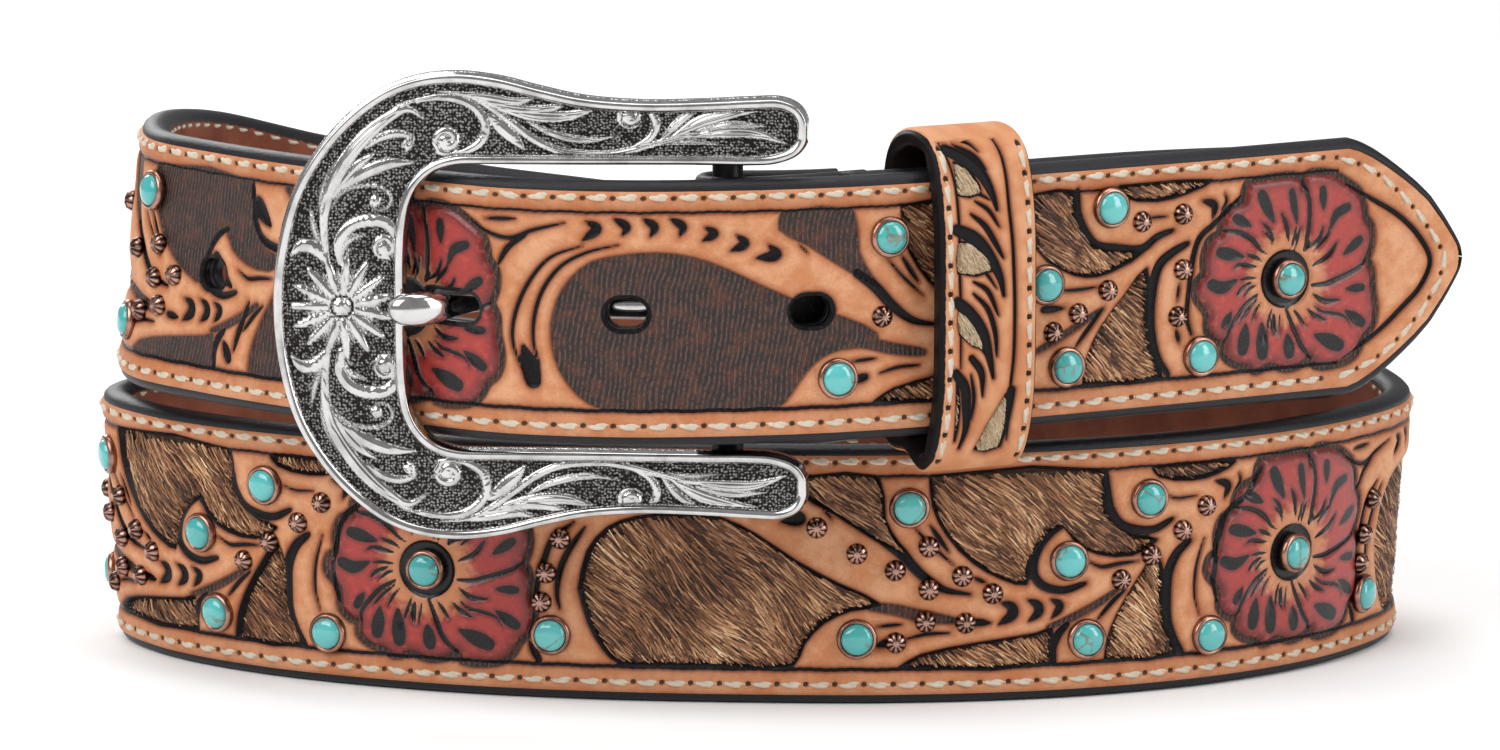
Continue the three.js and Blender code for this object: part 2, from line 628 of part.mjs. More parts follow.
function piece(name, geometry, material) {
  const mesh = new THREE.Mesh(geometry, material);
  mesh.name = name;
  belt.add(mesh);
}

const base = strapLayer(0, 0, BASE_INNER, BASE_OUTER, []).add(foldRoundBar());
piece("strap_base", toGeometry(base), MATERIALS.russet);
piece("hide_inlay", toGeometry(strapLayer(SKIN_START + 12, HIDE_INSET, HIDE_INNER, HIDE_OUTER, [])),
  MATERIALS.hair);

const stones = spots(CELL_STONES, UPPER_STONES);
const seen = stones
  .map(([s, t]) => ({ s, t, y: onStrap(s, t, 0).y }))
  .sort((a, b) => a.y - b.y);
const own = seen.slice(0, OWN_STUDS).sort((a, b) => a.s - b.s);
const fixed = seen.slice(OWN_STUDS);

let skin = strapLayer(SKIN_START, SKIN_INSET, SKIN_INNER, SKIN_OUTER, WINDOWS);
for (const [s, t] of spots(CELL_RIVETS, UPPER_RIVETS)) {
  skin = skin.add(toSolid(seatOnStrap(rivetGeometry(), s, t, SKIN_OUTER - SEAT)));
}
for (const { s, t } of fixed) {
  skin = skin.add(toSolid(seatOnStrap(studGeometry(5), s, t, SKIN_OUTER - SEAT)));
}
piece("strap_skin", toGeometry(skin), MATERIALS.tan);

piece("buckle_frame", toGeometry(buckleFrame().add(frameBar())), MATERIALS.silver);
piece("buckle_prong", toGeometry(prong()), MATERIALS.silver);
const keeper = keeperParts();
piece("keeper_base", keeper.keeper_base, MATERIALS.russet);
piece("keeper_hide", keeper.keeper_hide, MATERIALS.blond);
piece("keeper_skin", keeper.keeper_skin, MATERIALS.tan);
own.forEach(({ s, t }, i) => {
  const name = `turquoise_stud_${String(i + 1).padStart(2, "0")}`;
  const geometry = toGeometry(toSolid(seatOnStrap(studGeometry(7), s, t, SKIN_OUTER + GAP)));
  piece(name, geometry, MATERIALS.turquoise);
});

// The origin is at the middle of the box round the belt, on the surface it stands on.
const box = new THREE.Box3().setFromObject(belt);
const middle = box.getCenter(new THREE.Vector3());
belt.position.set(-middle.x, -middle.y, -box.min.z);

export default belt;
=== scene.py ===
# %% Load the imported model
import math

import bpy
import mathutils
import numpy as np
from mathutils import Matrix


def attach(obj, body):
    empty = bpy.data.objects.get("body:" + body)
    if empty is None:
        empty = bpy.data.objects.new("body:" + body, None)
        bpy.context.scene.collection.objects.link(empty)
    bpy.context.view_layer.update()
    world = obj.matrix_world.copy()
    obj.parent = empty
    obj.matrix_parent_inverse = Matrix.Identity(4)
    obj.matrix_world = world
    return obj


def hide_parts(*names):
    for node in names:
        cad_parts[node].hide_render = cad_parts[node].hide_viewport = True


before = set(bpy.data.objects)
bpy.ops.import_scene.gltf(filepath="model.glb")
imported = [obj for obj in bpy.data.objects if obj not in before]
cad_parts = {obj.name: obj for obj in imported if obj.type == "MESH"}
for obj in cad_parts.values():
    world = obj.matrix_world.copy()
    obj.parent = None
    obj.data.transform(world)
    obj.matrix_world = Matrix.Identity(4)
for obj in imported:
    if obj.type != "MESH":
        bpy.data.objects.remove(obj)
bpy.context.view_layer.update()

# %% [markdown]
# The belt is one long strap that is wound twice round and stands on its lower edge.
# Every layer of it follows the same path, so the path comes first: the place of the
# lower edge at a row of knots, with a smooth curve through them. Sizes are millimetres.

# %% The path of the strap
MM = 0.001
SHIFT = np.array([-3.736, 0.305, 0.0])
STRAP_WIDTH = 38.0
STRAP_END = 1081.9
TIP_LENGTH = 20.0
# Columns: x, y, height of the lower edge, lean of the upper edge outwards in degrees.
PATH = np.array([
    [13.632, -59.968, 41.2, 0], [28, -53.4, 41.2, 0], [42, -45.4, 41.2, 0], [57, -36.9, 41.1, 0],
    [73, -26.7, 40.4, 0], [84, -12, 38.6, 0], [86.5, 6, 35.8, 0], [83.5, 22, 33, 0],
    [76, 36, 30, 0], [60.5, 48.7, 26.6, 0], [38, 57.5, 23, 0], [10, 61, 19.5, 0],
    [-18, 60.5, 14, 0], [-44, 54.5, 8.4, 0], [-65, 44.4, 3.6, 0.7], [-80, 28.5, 0.3, 1.8],
    [-91.9, 6, 0, 4], [-85.7, -10.8, 0, 3.2], [-70.2, -26.2, 0, 1.8], [-48, -38.1, 0, 0.6],
    [-25, -44.8, 0, 0], [0, -47.9, 0, 0], [24, -48.1, 0, 0], [47.9, -43.3, 0, 0.4],
    [70, -31.9, 0, 1.5], [86.6, -14.9, 0, 3], [95.4, 6, 0, 4], [91, 27, 1.2, 3.3],
    [80, 44, 4, 2], [62, 57, 8.5, 1], [38, 65.5, 13, 0.3], [10, 69, 17.5, 0],
    [-18, 68.5, 21.8, 0], [-44, 63, 26, -0.6], [-66, 52.3, 31.8, -1.8], [-82, 36, 37.6, -3.4],
    [-90.3, 14, 40.6, -5.2], [-89.3, -17, 41.5, -6], [-78.1, -31.8, 41.5, -4.4],
    [-63.4, -46, 41.5, -2.4], [-45.5, -59.4, 41.5, -0.8], [-32.7, -67.1, 41.5, 0],
    [-17.8, -70.4, 41.5, 0], [-3, -69.6, 41.5, 0], [11.9, -66.4, 41.5, 0],
    [26.7, -60.3, 41.5, 0], [44.4, -50.7, 41.5, 0], [64.5, -39.2, 41.5, 0],
    [84.4, -26.9, 41.5, 0], [102.1, -15.5, 41.5, 0], [109, -11, 41.5, 0],
])


def smooth_curve(knots, per_span=8):
    """Points on a smooth curve through the knots."""
    knots = np.asarray(knots, float)
    ends = np.vstack([2 * knots[0] - knots[1], knots, 2 * knots[-1] - knots[-2]])
    p0, p1, p2, p3 = ends[:-3], ends[1:-2], ends[2:-1], ends[3:]

    def reach(a, b):
        return np.maximum(np.linalg.norm(b - a, axis=1, keepdims=True), 1e-9) ** 0.5

    d0, d1, d2 = reach(p0, p1), reach(p1, p2), reach(p2, p3)
    pull1 = ((p1 - p0) / d0 - (p2 - p0) / (d0 + d1) + (p2 - p1) / d1) * d1
    pull2 = ((p2 - p1) / d1 - (p3 - p1) / (d1 + d2) + (p3 - p2) / d2) * d1
    w = (np.arange(per_span) / per_span)[None, :, None]
    a, b, c, d = p1[:, None], p2[:, None], pull1[:, None], pull2[:, None]
    points = a + c * w + (3 * (b - a) - 2 * c - d) * w ** 2 + (2 * (a - b) + c + d) * w ** 3
    return np.vstack([points.reshape(-1, knots.shape[1]), knots[-1:]])


def unit(vectors):
    return vectors / np.linalg.norm(vectors, axis=-1, keepdims=True)


EDGE = smooth_curve(PATH[:, :3], 40)
LEAN = np.radians(smooth_curve(np.column_stack([np.arange(len(PATH)), PATH[:, 3]]), 40)[:, 1:])
RUN = np.concatenate([[0], np.cumsum(np.linalg.norm(np.diff(EDGE, axis=0), axis=1))])
ALONG = unit(np.gradient(EDGE, axis=0))
LEVEL_OUT = unit(np.cross(ALONG, [0, 0, 1]))
UP = np.cos(LEAN) * [0, 0, 1] + np.sin(LEAN) * LEVEL_OUT
OUT = np.cos(LEAN) * LEVEL_OUT - np.sin(LEAN) * [0, 0, 1]


def follow(s, track):
    """A column of the path's track at s millimetres along it."""
    return np.stack([np.interp(s, RUN, track[:, k]) for k in range(3)], axis=-1)


def on_strap(s, t, n):
    """The place s along the strap, t up from its lower edge and n out from its middle."""
    s, t, n = np.broadcast_arrays(s, t, n)
    place = follow(s, EDGE) + follow(s, UP) * t[..., None] + follow(s, OUT) * n[..., None]
    place[..., 2] = np.maximum(place[..., 2], 0)
    return place + SHIFT


print("strap length:", round(RUN[-1], 1), "mm, belt to", STRAP_END)

# %% [markdown]
# Long, thin, patterned pieces are rows of points with a section at each place along the
# strap. Arrays make these quickly, and carry a mark for each point, such as how far it is
# from the nearest cut, which the materials read to place colour exactly.

# %% Build meshes from arrays


def add_piece(name, points, faces, material, marks=None, smooth=True):
    """A mesh object from arrays of points in mm and of faces, with a value for each point."""
    mesh = bpy.data.meshes.new(name)
    mesh.vertices.add(len(points))
    mesh.vertices.foreach_set("co", (np.asarray(points) * MM).astype(np.float32).ravel())
    groups = faces if isinstance(faces, list) else [faces]
    corners = np.concatenate([g.ravel() for g in groups]).astype(np.int32)
    sizes = np.concatenate([np.full(len(g), g.shape[1]) for g in groups])
    starts = np.concatenate([[0], np.cumsum(sizes)[:-1]]).astype(np.int32)
    mesh.loops.add(len(corners))
    mesh.loops.foreach_set("vertex_index", corners)
    mesh.polygons.add(len(sizes))
    mesh.polygons.foreach_set("loop_start", starts)
    mesh.update(calc_edges=True)
    mesh.validate()
    for mark, values in (marks or {}).items():
        values = np.asarray(values, np.float32)
        if values.ndim == 2:
            layer = mesh.attributes.new(mark, "FLOAT_COLOR", "POINT")
            layer.data.foreach_set("color", values.ravel())
        else:
            layer = mesh.attributes.new(mark, "FLOAT", "POINT")
            layer.data.foreach_set("value", values)
    if smooth:
        mesh.shade_smooth()
    mesh.materials.append(material)
    piece = bpy.data.objects.new(name, mesh)
    bpy.context.scene.collection.objects.link(piece)
    print(name, len(points), "points", int((sizes - 2).sum()), "triangles")
    return piece


def tube_faces(rows, ring):
    """Faces of a closed tube of rows rings of ring points, its ends closed by one face."""
    i, j = np.meshgrid(np.arange(rows - 1), np.arange(ring), indexing="ij")
    k = (j + 1) % ring
    sides = np.stack([i * ring + j, (i + 1) * ring + j, (i + 1) * ring + k, i * ring + k], -1)
    first = np.arange(ring)[None]
    last = (rows - 1) * ring + np.arange(ring)[::-1][None]
    return [sides.reshape(-1, 4), first, last]


def step_up(x, low, high):
    """0 below low, 1 above high and smooth between."""
    w = np.clip((x - low) / (high - low), 0, 1)
    return w * w * (3 - 2 * w)


def hand_over(piece, slot, *nodes):
    """The piece rides on the one body and stands for these CAD nodes."""
    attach(piece, "root")
    if nodes:
        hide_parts(*nodes)
    return piece


# %% [markdown]
# The materials come next. Each is a small chain of nodes: noise for colour that varies as
# leather dye does, and bump for pores. The tooled leather reads the marks of its mesh.

# %% Short ways to make material nodes


def new_material(name):
    material = bpy.data.materials.new(name)
    material.use_nodes = True
    tree = material.node_tree
    return material, tree, tree.nodes["Principled BSDF"]


def node(tree, kind, settings=None, **inputs):
    """A node with its settings and its sockets set, a socket by value or by link."""
    made = tree.nodes.new(kind)
    for key, value in (settings or {}).items():
        setattr(made, key, value)
    for key, value in inputs.items():
        socket = made.inputs[int(key[1:]) if key[0] == "i" and key[1:].isdigit() else key]
        if isinstance(value, bpy.types.NodeSocket):
            tree.links.new(value, socket)
        else:
            socket.default_value = value
    return made


def mark(tree, name):
    return node(tree, "ShaderNodeAttribute", {"attribute_name": name}).outputs["Fac"]


def ramp(tree, value, low, high, start=0.0, end=1.0):
    """The value carried from low..high to start..end, smoothly and clamped."""
    made = node(tree, "ShaderNodeMapRange", {"interpolation_type": "SMOOTHSTEP"}, Value=value)
    made.inputs["From Min"].default_value = low
    made.inputs["From Max"].default_value = high
    made.inputs["To Min"].default_value = start
    made.inputs["To Max"].default_value = end
    return made.outputs["Result"]


def mix(tree, factor, a, b):
    """Colour a where the factor is 0 and b where it is 1."""
    made = node(tree, "ShaderNodeMix", {"data_type": "RGBA"})
    for key, value in ((0, factor), (6, a), (7, b)):
        if isinstance(value, bpy.types.NodeSocket):
            tree.links.new(value, made.inputs[key])
        else:
            made.inputs[key].default_value = value if key == 0 else (*value, 1)
    return made.outputs[2]


def sums(tree, operation, a, b=0.0):
    made = node(tree, "ShaderNodeMath", {"operation": operation})
    for key, value in ((0, a), (1, b)):
        if isinstance(value, bpy.types.NodeSocket):
            tree.links.new(value, made.inputs[key])
        else:
            made.inputs[key].default_value = value
    return made.outputs[0]


def object_place(tree):
    return node(tree, "ShaderNodeTexCoord").outputs["Object"]


def strap_place(tree, turn=0.0, stretch=(1, 1, 1)):
    """Place on the strap laid flat, in mm, turned in degrees and stretched for a grain."""
    place = node(tree, "ShaderNodeCombineXYZ", None, X=mark(tree, "along"), Y=mark(tree, "across"))
    mapping = node(tree, "ShaderNodeMapping", None, Vector=place.outputs[0])
    mapping.inputs["Rotation"].default_value = (0, 0, math.radians(turn))
    mapping.inputs["Scale"].default_value = stretch
    return mapping.outputs[0]


def noise(tree, place, scale, detail=3.0, rough=0.5, out="Fac"):
    made = node(tree, "ShaderNodeTexNoise", None, Vector=place, Scale=scale, Detail=detail)
    made.inputs["Roughness"].default_value = rough
    return made.outputs[out]


def bump(tree, height, strength, depth, normal=None):
    made = node(tree, "ShaderNodeBump", None, Height=height)
    made.inputs["Strength"].default_value = strength
    made.inputs["Distance"].default_value = depth * MM
    if normal is not None:
        tree.links.new(normal, made.inputs["Normal"])
    return made.outputs["Normal"]


def finish_shader(tree, shader, colour, roughness, normal=None, **constants):
    """Joins colour, roughness and normal to the shader and sets its constant sockets."""
    for key, value in (("Base Color", colour), ("Roughness", roughness), ("Normal", normal)):
        if isinstance(value, bpy.types.NodeSocket):
            tree.links.new(value, shader.inputs[key])
        elif value is not None:
            shader.inputs[key].default_value = (*value, 1) if key == "Base Color" else value
    for key, value in constants.items():
        shader.inputs[key.replace("_", " ")].default_value = value

# %% [markdown]
# The tooling is carved with a swivel knife, pressed with stamps and dyed. It repeats along
# the strap: a red flower, then leaves round a window that shows the hair-on hide. The chart
# is drawn flat, in mm from a flower's middle (first number) and up from the lower edge.

# %% Chart of one repeat of the tooling
FLOWER_T = 18.3
REPEAT = 131.3
# Columns: s of the flower, length to the next one.
REPEATS = [
    (13.3, 131.3), (144.6, 131.3), (275.9, 131.3), (407.2, 131.3), (538.5, 124.7), (663.2, 124.7),
    (787.9, 124.2),
]
UPPER_FLOWER = 912.1
TIP_FLOWER = 1049.7
WINDOWS = {
    "oval": [(22.7, 16.5), (24.1, 11.5), (26.2, 7.8), (28.6, 5.7), (34, 5.6), (44, 5.6),
             (53.6, 5.7), (55.2, 9), (58, 12.1), (62, 14), (66.1, 14.7), (60, 17.8), (54, 21.1),
             (48.5, 24.8), (43.2, 27.3), (37.3, 27.8), (31, 27.2), (27, 25.6), (24, 22)],
    "top_triangle": [(55.4, 33.5), (55.1, 30.9), (59, 28.6), (65, 24.6), (70.4, 21.6),
                     (68.6, 23.8), (66.7, 27.3), (65.8, 33.5)],
    "large": [(73.2, 33.5), (73.7, 29), (75.7, 24.8), (79.5, 20.7), (83.7, 18.2), (87.2, 17.3),
              (87.6, 20), (89.6, 23.6), (92.6, 25.6), (94.6, 23), (98, 21.2), (103.2, 20.7),
              (107, 22.6), (103.2, 23.6), (100.7, 25.2), (99, 28), (98.6, 33.5)],
    "large_start": [(73.2, 33.5), (73.7, 29), (75.7, 24.8), (79.5, 20.7), (83.7, 18.2),
                    (87.2, 17.3), (87.6, 20), (88.6, 23), (88.8, 33.5)],
    "low_sliver": [(69, 5.5), (72, 7.2), (80, 8.7), (88.7, 9.8), (91, 10.4), (90.6, 8), (91, 5.5)],
    "top_sliver": [(106.2, 33.4), (107.4, 32), (112.7, 31.1), (117, 31.7), (120, 33.2)],
    "low_triangle": [(99.1, 5.4), (99.6, 8.6), (101, 12), (104.2, 17), (107, 20.2), (108.2, 17),
                     (108.2, 13), (108.8, 9.4), (110.6, 5.4)],
}
TIP_WINDOWS = [
    [(1006.7, 33.7), (1007, 26), (1011.3, 22.6), (1015.4, 21.2), (1019.4, 21.6), (1025, 24.2),
     (1019.2, 24.8), (1015.8, 26.6), (1013.6, 30), (1013.4, 33.7)],
    [(1020.9, 33.9), (1021.4, 32.5), (1027.5, 31.4), (1032.5, 32.2), (1036.7, 33.7)],
    [(1015, 5.6), (1015.6, 9.2), (1018, 13.6), (1022, 18), (1025.6, 21.6), (1025.8, 15),
     (1026.4, 10), (1028.2, 5.6)],
]
FULL_WINDOWS = [name for name in WINDOWS if name != "large_start"]
HOLE_GROUND = [(23.3, 17.5), (23.4, 14.5), (24.4, 11), (26.4, 8), (28.4, 6.3), (31, 5.3),
               (44, 5.2), (55, 5.3), (57, 7.4), (59, 10.2), (61.2, 12.2), (64, 13.3),
               (69.4, 13.8), (69.4, 15.4), (64.4, 18), (56.4, 21.2), (51.4, 23.6), (47.4, 25.6),
               (43, 27.2), (38, 27.9), (33, 27.5), (29, 26.5), (26, 24), (24.2, 21)]
# Knife cuts filled with black. Columns: kind, width, points.
CUTS = [
    ("knife", 0.9, [(16.7, 12.6), (16.5, 16.3), (17.7, 20.8), (18.8, 23.5), (22, 26.3)]),
    ("knife", 0.9, [(19.9, 13.5), (19.5, 15.4), (19.9, 19), (21.3, 22.2), (23.6, 25.6)]),
    ("knife", 0.6, [(10.3, 32.5), (13.3, 30.5), (17.3, 29.5), (20.8, 30.8), (25.3, 32)]),
    ("knife", 0.6, [(13.8, 32.1), (18.3, 32.3)]),
    ("knife", 0.8, [(19.8, 30), (17.3, 28.3), (15.6, 25.5)]),
    ("drop", 1.1, [(15.3, 8.5), (16.8, 5.8)]),
    ("moon", 1.4, [(28.3, 32.3), (29.8, 31.3), (27.8, 29.5)]),
    ("moon", 1.2, [(32.1, 32.8), (33.9, 31.5), (33.3, 30.3)]),
    ("moon", 1.2, [(36.1, 32.8), (37.7, 31.5), (37.1, 30.2)]),
    ("moon", 1.2, [(39.8, 32.8), (41.6, 31.5), (41.1, 30.2)]),
    ("moon", 1.2, [(44.6, 31.5), (46, 30.5), (44.3, 29.5)]),
    ("moon", 1.3, [(49.1, 30.3), (50.3, 29), (48.3, 28)]),
    ("moon", 1.5, [(53.6, 28.8), (54.8, 27.3), (51.9, 26.9)]),
    ("knife", 0.35, [(57.9, 28.8), (59.2, 27.4)]),
    ("drop", 1.5, [(79, 16.0), (75, 16.9), (72, 19), (69, 22.2), (66.4, 24.2)]),
    ("knife", 0.45, [(70.9, 26.1), (73, 23.7), (76.6, 20.4)]),
    ("knife", 0.7, [(73.2, 26.3), (74.5, 24.3), (75.9, 22.3)]),
    ("knife", 0.6, [(79.5, 18.5), (81.3, 17.6)]),
    ("ground", 1.6, [(64.2, 14.5), (68, 14), (72, 13), (76.7, 12.2)]),
    ("drop", 1.1, [(82, 11.7), (79.6, 11.9)]),
    ("knife", 0.5, [(65.6, 11.5), (69.2, 11.8)]),
    ("drop", 1.2, [(65.6, 8.7), (67.6, 9.2)]),
    ("knife", 0.5, [(69.7, 9.6), (72.7, 10.3), (76, 10.4)]),
    ("moon", 1.6, [(83.4, 14.7), (85, 14), (85.2, 12.9), (83.1, 11.4)]),
    ("moon", 1.4, [(87.3, 15), (88.9, 14), (89, 13), (87.5, 11.7)]),
    ("moon", 1.2, [(90.7, 14.9), (92.1, 14), (92, 13.3), (90.9, 12)]),
    ("ground", 1.1, [(90.4, 10.7), (94.1, 12), (97.7, 13.7), (100.9, 15.6)]),
    ("knife", 0.7, [(97.9, 11.5), (100.2, 14), (102.2, 15.6)]),
    ("rim", 1.3, [(93.2, 26), (90.9, 24.7), (88.9, 22.3), (88.2, 20), (88.4, 18.3), (89.8, 16.8),
                  (92.7, 16.1), (95.9, 16.9)]),
    ("knife", 0.6, [(96.4, 20.1), (98.4, 19.2), (101.3, 19.5), (104.1, 19.7)]),
    ("rim", 1.3, [(99, 33.2), (99.3, 30), (99.8, 27.6), (101.3, 25.4), (103.7, 24.4),
                  (106.6, 24.2), (109.5, 25.5)]),
    ("knife", 0.4, [(108.6, 29), (110.2, 28.5), (113.4, 28.6)]),
    ("rim", 1.3, [(91.3, 5.2), (91.1, 7.6), (92, 9.7), (93.4, 11.1)]),
    ("rim", 1.7, [(111.6, 5.2), (110, 7.6), (108.9, 10.4), (108.7, 14), (109, 17.6),
                  (110.4, 20.4), (112.4, 22.1)]),
    ("knife", 0.45, [(114.2, 10.9), (113.4, 14), (113.6, 18), (114.8, 22.2)]),
    ("moon", 1.2, [(116.5, 30.6), (118.8, 29.7), (118.2, 27.8)]),
    ("knife", 0.5, [(120.6, 31.4), (121, 30.2), (120, 28.8)]),
    ("rim", 0.9, [(117.4, 12.4), (116.6, 16), (117, 21), (118.4, 25.2), (121, 27.4),
                  (123.4, 29.6), (124.8, 32)]),
]
# Between the leaves where studs would get in the prong's way, drops are carved instead.
HOLE_CUTS = [
    ("knife", 0.55, [(27.8, 28.8), (23.3, 27), (20.3, 23.5), (18.3, 19), (17.8, 15), (18.8, 11.8),
                     (19.8, 9.5)]),
    ("knife", 0.55, [(32.8, 29), (28.3, 27.8), (24.8, 25.8), (22.3, 22.5), (21.1, 19), (20.8, 15),
                     (21.6, 11.8), (21.8, 9.5)]),
    ("drop", 2.6, [(19.4, 14), (20.4, 11), (20.8, 9.2)]),
]
DROPS = [
    ("drop", 2.2, [(94.6, 17.6), (92.4, 19.2), (90.8, 21.4)]),
    ("drop", 2.3, [(103.2, 27.4), (101.4, 29), (100.4, 30.4)]),
    ("drop", 1.6, [(93.4, 9.4), (94, 8.4), (94.6, 7)]),
    ("knife", 1.0, [(95.8, 8.3), (96.8, 11.1), (99, 15.8)]),
]
# Cuts between the keeper and the flower on the tip. Columns: kind, width, points.
TIP_CUTS = [
    ("rim", 1.3, [(1013.9, 34), (1014, 30.7), (1015.2, 27.8), (1017, 25.7), (1020.2, 25),
                  (1024.8, 24.6), (1027.3, 26.1), (1030, 26.9)]),
    ("rim", 1.6, [(1029.4, 5.8), (1027.6, 8.2), (1026.4, 12.3), (1026.4, 17.3), (1027.7, 21.9),
                  (1029.9, 23.6), (1032.6, 24.8)]),
    ("knife", 0.5, [(1031.2, 19), (1030.8, 16.5)]),
    ("knife", 0.7, [(1030.7, 12.3), (1031.2, 10.3)]),
    ("moon", 1.2, [(1034.9, 30.9), (1037.2, 30), (1036.8, 28)]),
    ("knife", 0.5, [(1038.9, 31.7), (1039.3, 30.5), (1038.4, 29.2)]),
    ("rim", 0.9, [(1033.3, 11.4), (1032.5, 14), (1032.9, 18), (1033.4, 22), (1034.6, 25.4),
                  (1037, 27.2), (1039.6, 29.2), (1041.8, 31)]),
    ("drop", 1.1, [(1011.6, 16.9), (1008.2, 16.9)]),
    ("ground", 1.0, [(1006.5, 10.7), (1010.2, 12.3), (1015.2, 14.8), (1018.2, 16.3)]),
    ("knife", 0.7, [(1013.6, 11.1), (1016.1, 14), (1018.2, 16.3)]),
    ("knife", 0.5, [(1010.7, 19.4), (1015.2, 19.4), (1017.1, 19.6)]),
    ("knife", 0.4, [(1025.9, 29), (1029, 29)]),
    ("rim", 0.8, [(1060.3, 31.5), (1064.9, 29), (1070, 26.1), (1073.7, 22.8), (1075.9, 19),
                  (1074.2, 15.3), (1070.7, 12.3), (1067.4, 9.8), (1063.2, 7.3), (1059.9, 5.7)]),
]

# %% Chart of one flower, from its middle
PETALS = [
    (-6.5, 14.4), (-2, 14.7), (2.3, 14.4), (2.8, 12.9), (3.5, 14.6), (7.7, 14.6), (11, 12.9),
    (12.9, 11.5), (13.6, 9.6), (13.9, 7.9), (15, 6.4), (15.1, 4.2), (14.6, 2.6), (14.2, 1.8),
    (15.1, 0), (15.3, -2.9), (15.8, -5.8), (15.2, -8.3), (13.8, -9.6), (12.3, -12), (10.2, -12.9),
    (5.6, -12.9), (4.7, -11.5), (3, -12.5), (0.2, -12.9), (-2.4, -12.2), (-5.2, -12.8),
    (-6.6, -12), (-8.5, -11.6), (-10.4, -10.2), (-10.4, -8.3), (-11.9, -7.9), (-13.3, -6.5),
    (-13.4, -4.2), (-14, -3.1), (-15.6, -1), (-15.2, 0.6), (-14, 1.5), (-14, 4.2), (-13.1, 6.4),
    (-11.3, 7.3), (-11, 9), (-10.2, 10.5), (-7.4, 11.6), (-7, 13.2),
]
FOLDS = [
    ("rim", 0.8, [(2.9, 14.4), (3.9, 11.3), (4, 8.3), (3.6, 3.8)]),
    ("rim", 0.8, [(14.4, 1.7), (12.7, 0.6), (9.4, -0.6), (6.9, -1.3), (4.6, -1.3)]),
    ("rim", 0.8, [(4.7, -12.2), (2.7, -10), (1.5, -7.5), (0.8, -5.8), (0.2, -4.4)]),
    ("rim", 0.7, [(-10.5, -8.4), (-10, -6.6), (-8.5, -4.6), (-6.9, -3.1), (-4.8, -1.9)]),
    ("rim", 0.8, [(-11, 7.9), (-8.5, 7.5), (-6, 6.2), (-4.2, 4.3)]),
]
SEEDS = [
    (1.9, [(-2.4, 8.6), (-3.6, 10.8), (-4.5, 12.7)]), (1.3, [(1.8, 8.0), (1.2, 10.6), (0.8, 12.8)]),
    (1.4, [(6.5, 9.8), (6.3, 12.7)]), (1.5, [(7.7, 6.8), (8.8, 8.9), (10.8, 9.8)]),
    (1.5, [(10.2, 2.9), (13, 4.8)]), (1.3, [(10.6, -2.3), (13.5, -2.3)]),
    (1.7, [(10.6, -5.6), (13.5, -7.5)]), (2.3, [(5.2, -8.7), (9.4, -10.5)]),
    (2.0, [(0.2, -8.3), (0.6, -11)]), (2.2, [(-4.4, -6.2), (-4.2, -10.7)]),
    (2.1, [(-7.2, -6.2), (-7.7, -9.8)]), (1.4, [(-9.8, -4.2), (-10.9, -6)]),
    (1.9, [(-8.9, 0.5), (-11.4, -0.4), (-13.2, 0.2)]), (1.9, [(-7.7, 3.8), (-11.7, 4.8)]),
    (1.6, [(-6.5, 8.3), (-9, 9.6)]),
]
VEINS = [
    (0.55, [(-4.6, 8.8), (-3.1, 7.5), (-2, 5.8)]), (0.5, [(-4.2, 7.3), (-2.7, 6.2), (-2.1, 4.8)]),
    (0.75, [(-1, 9.8), (0, 7.9), (0.6, 5.4)]), (0.5, [(1.7, 7.7), (1.5, 5.8), (1, 4.4)]),
    (0.5, [(2.5, 7.5), (2.1, 5.6), (1.7, 4.2)]), (0.65, [(6.5, 7.3), (5.8, 5.4), (4, 4.2)]),
    (0.9, [(4.2, 5.2), (3.3, 3.8)]), (0.6, [(7.7, 7.3), (7.5, 6.3), (6, 4.6), (5.2, 3.8)]),
    (0.75, [(9, 4.8), (7.3, 2.7), (4.8, 1.5)]), (0.75, [(9.4, -3.8), (6.9, -3.8), (4.8, -2.5)]),
    (0.55, [(11.5, -7.9), (10.6, -6.5), (8.5, -5.8), (6.5, -5.4), (4.8, -4.2)]),
    (0.65, [(7.1, -6.7), (5.2, -5.8), (3.8, -4.6)]), (0.6, [(3.5, -7.3), (2.5, -5.8), (1.5, -4.6)]),
    (0.85, [(-1.9, -8.1), (-2.1, -6.7), (-1.9, -5)]), (0.4, [(-1.2, -8.3), (-1, -6.2), (-0.8, -5)]),
    (0.5, [(-3.5, -7.9), (-2.9, -5.8), (-2.3, -4.2)]), (0.5, [(-6, -5.8), (-5.2, -4.2), (-4.2, -3.1)]),
    (0.5, [(-8.3, -5.8), (-6.9, -4.2), (-4.8, -2.5)]), (0.65, [(-8.7, -1.7), (-7.7, -0.8), (-6, 0)]),
    (0.5, [(-7.3, -1.9), (-6, -0.8), (-5, -0.6)]), (0.65, [(-8.7, 2.9), (-6.9, 2.5), (-5, 2.1)]),
    (0.5, [(-9.4, 2.3), (-8.1, 2.8), (-5.6, 2.3)]), (0.65, [(-7.1, 4.2), (-5.2, 3.5), (-4.2, 2.9)]),
    (0.5, [(-8.5, 0.6), (-6, 0.6), (-5, 0.4)]), (0.5, [(-5.6, 5.8), (-4.2, 4.4), (-3.1, 3.8)]),
]
RING_RADIUS = 4.3

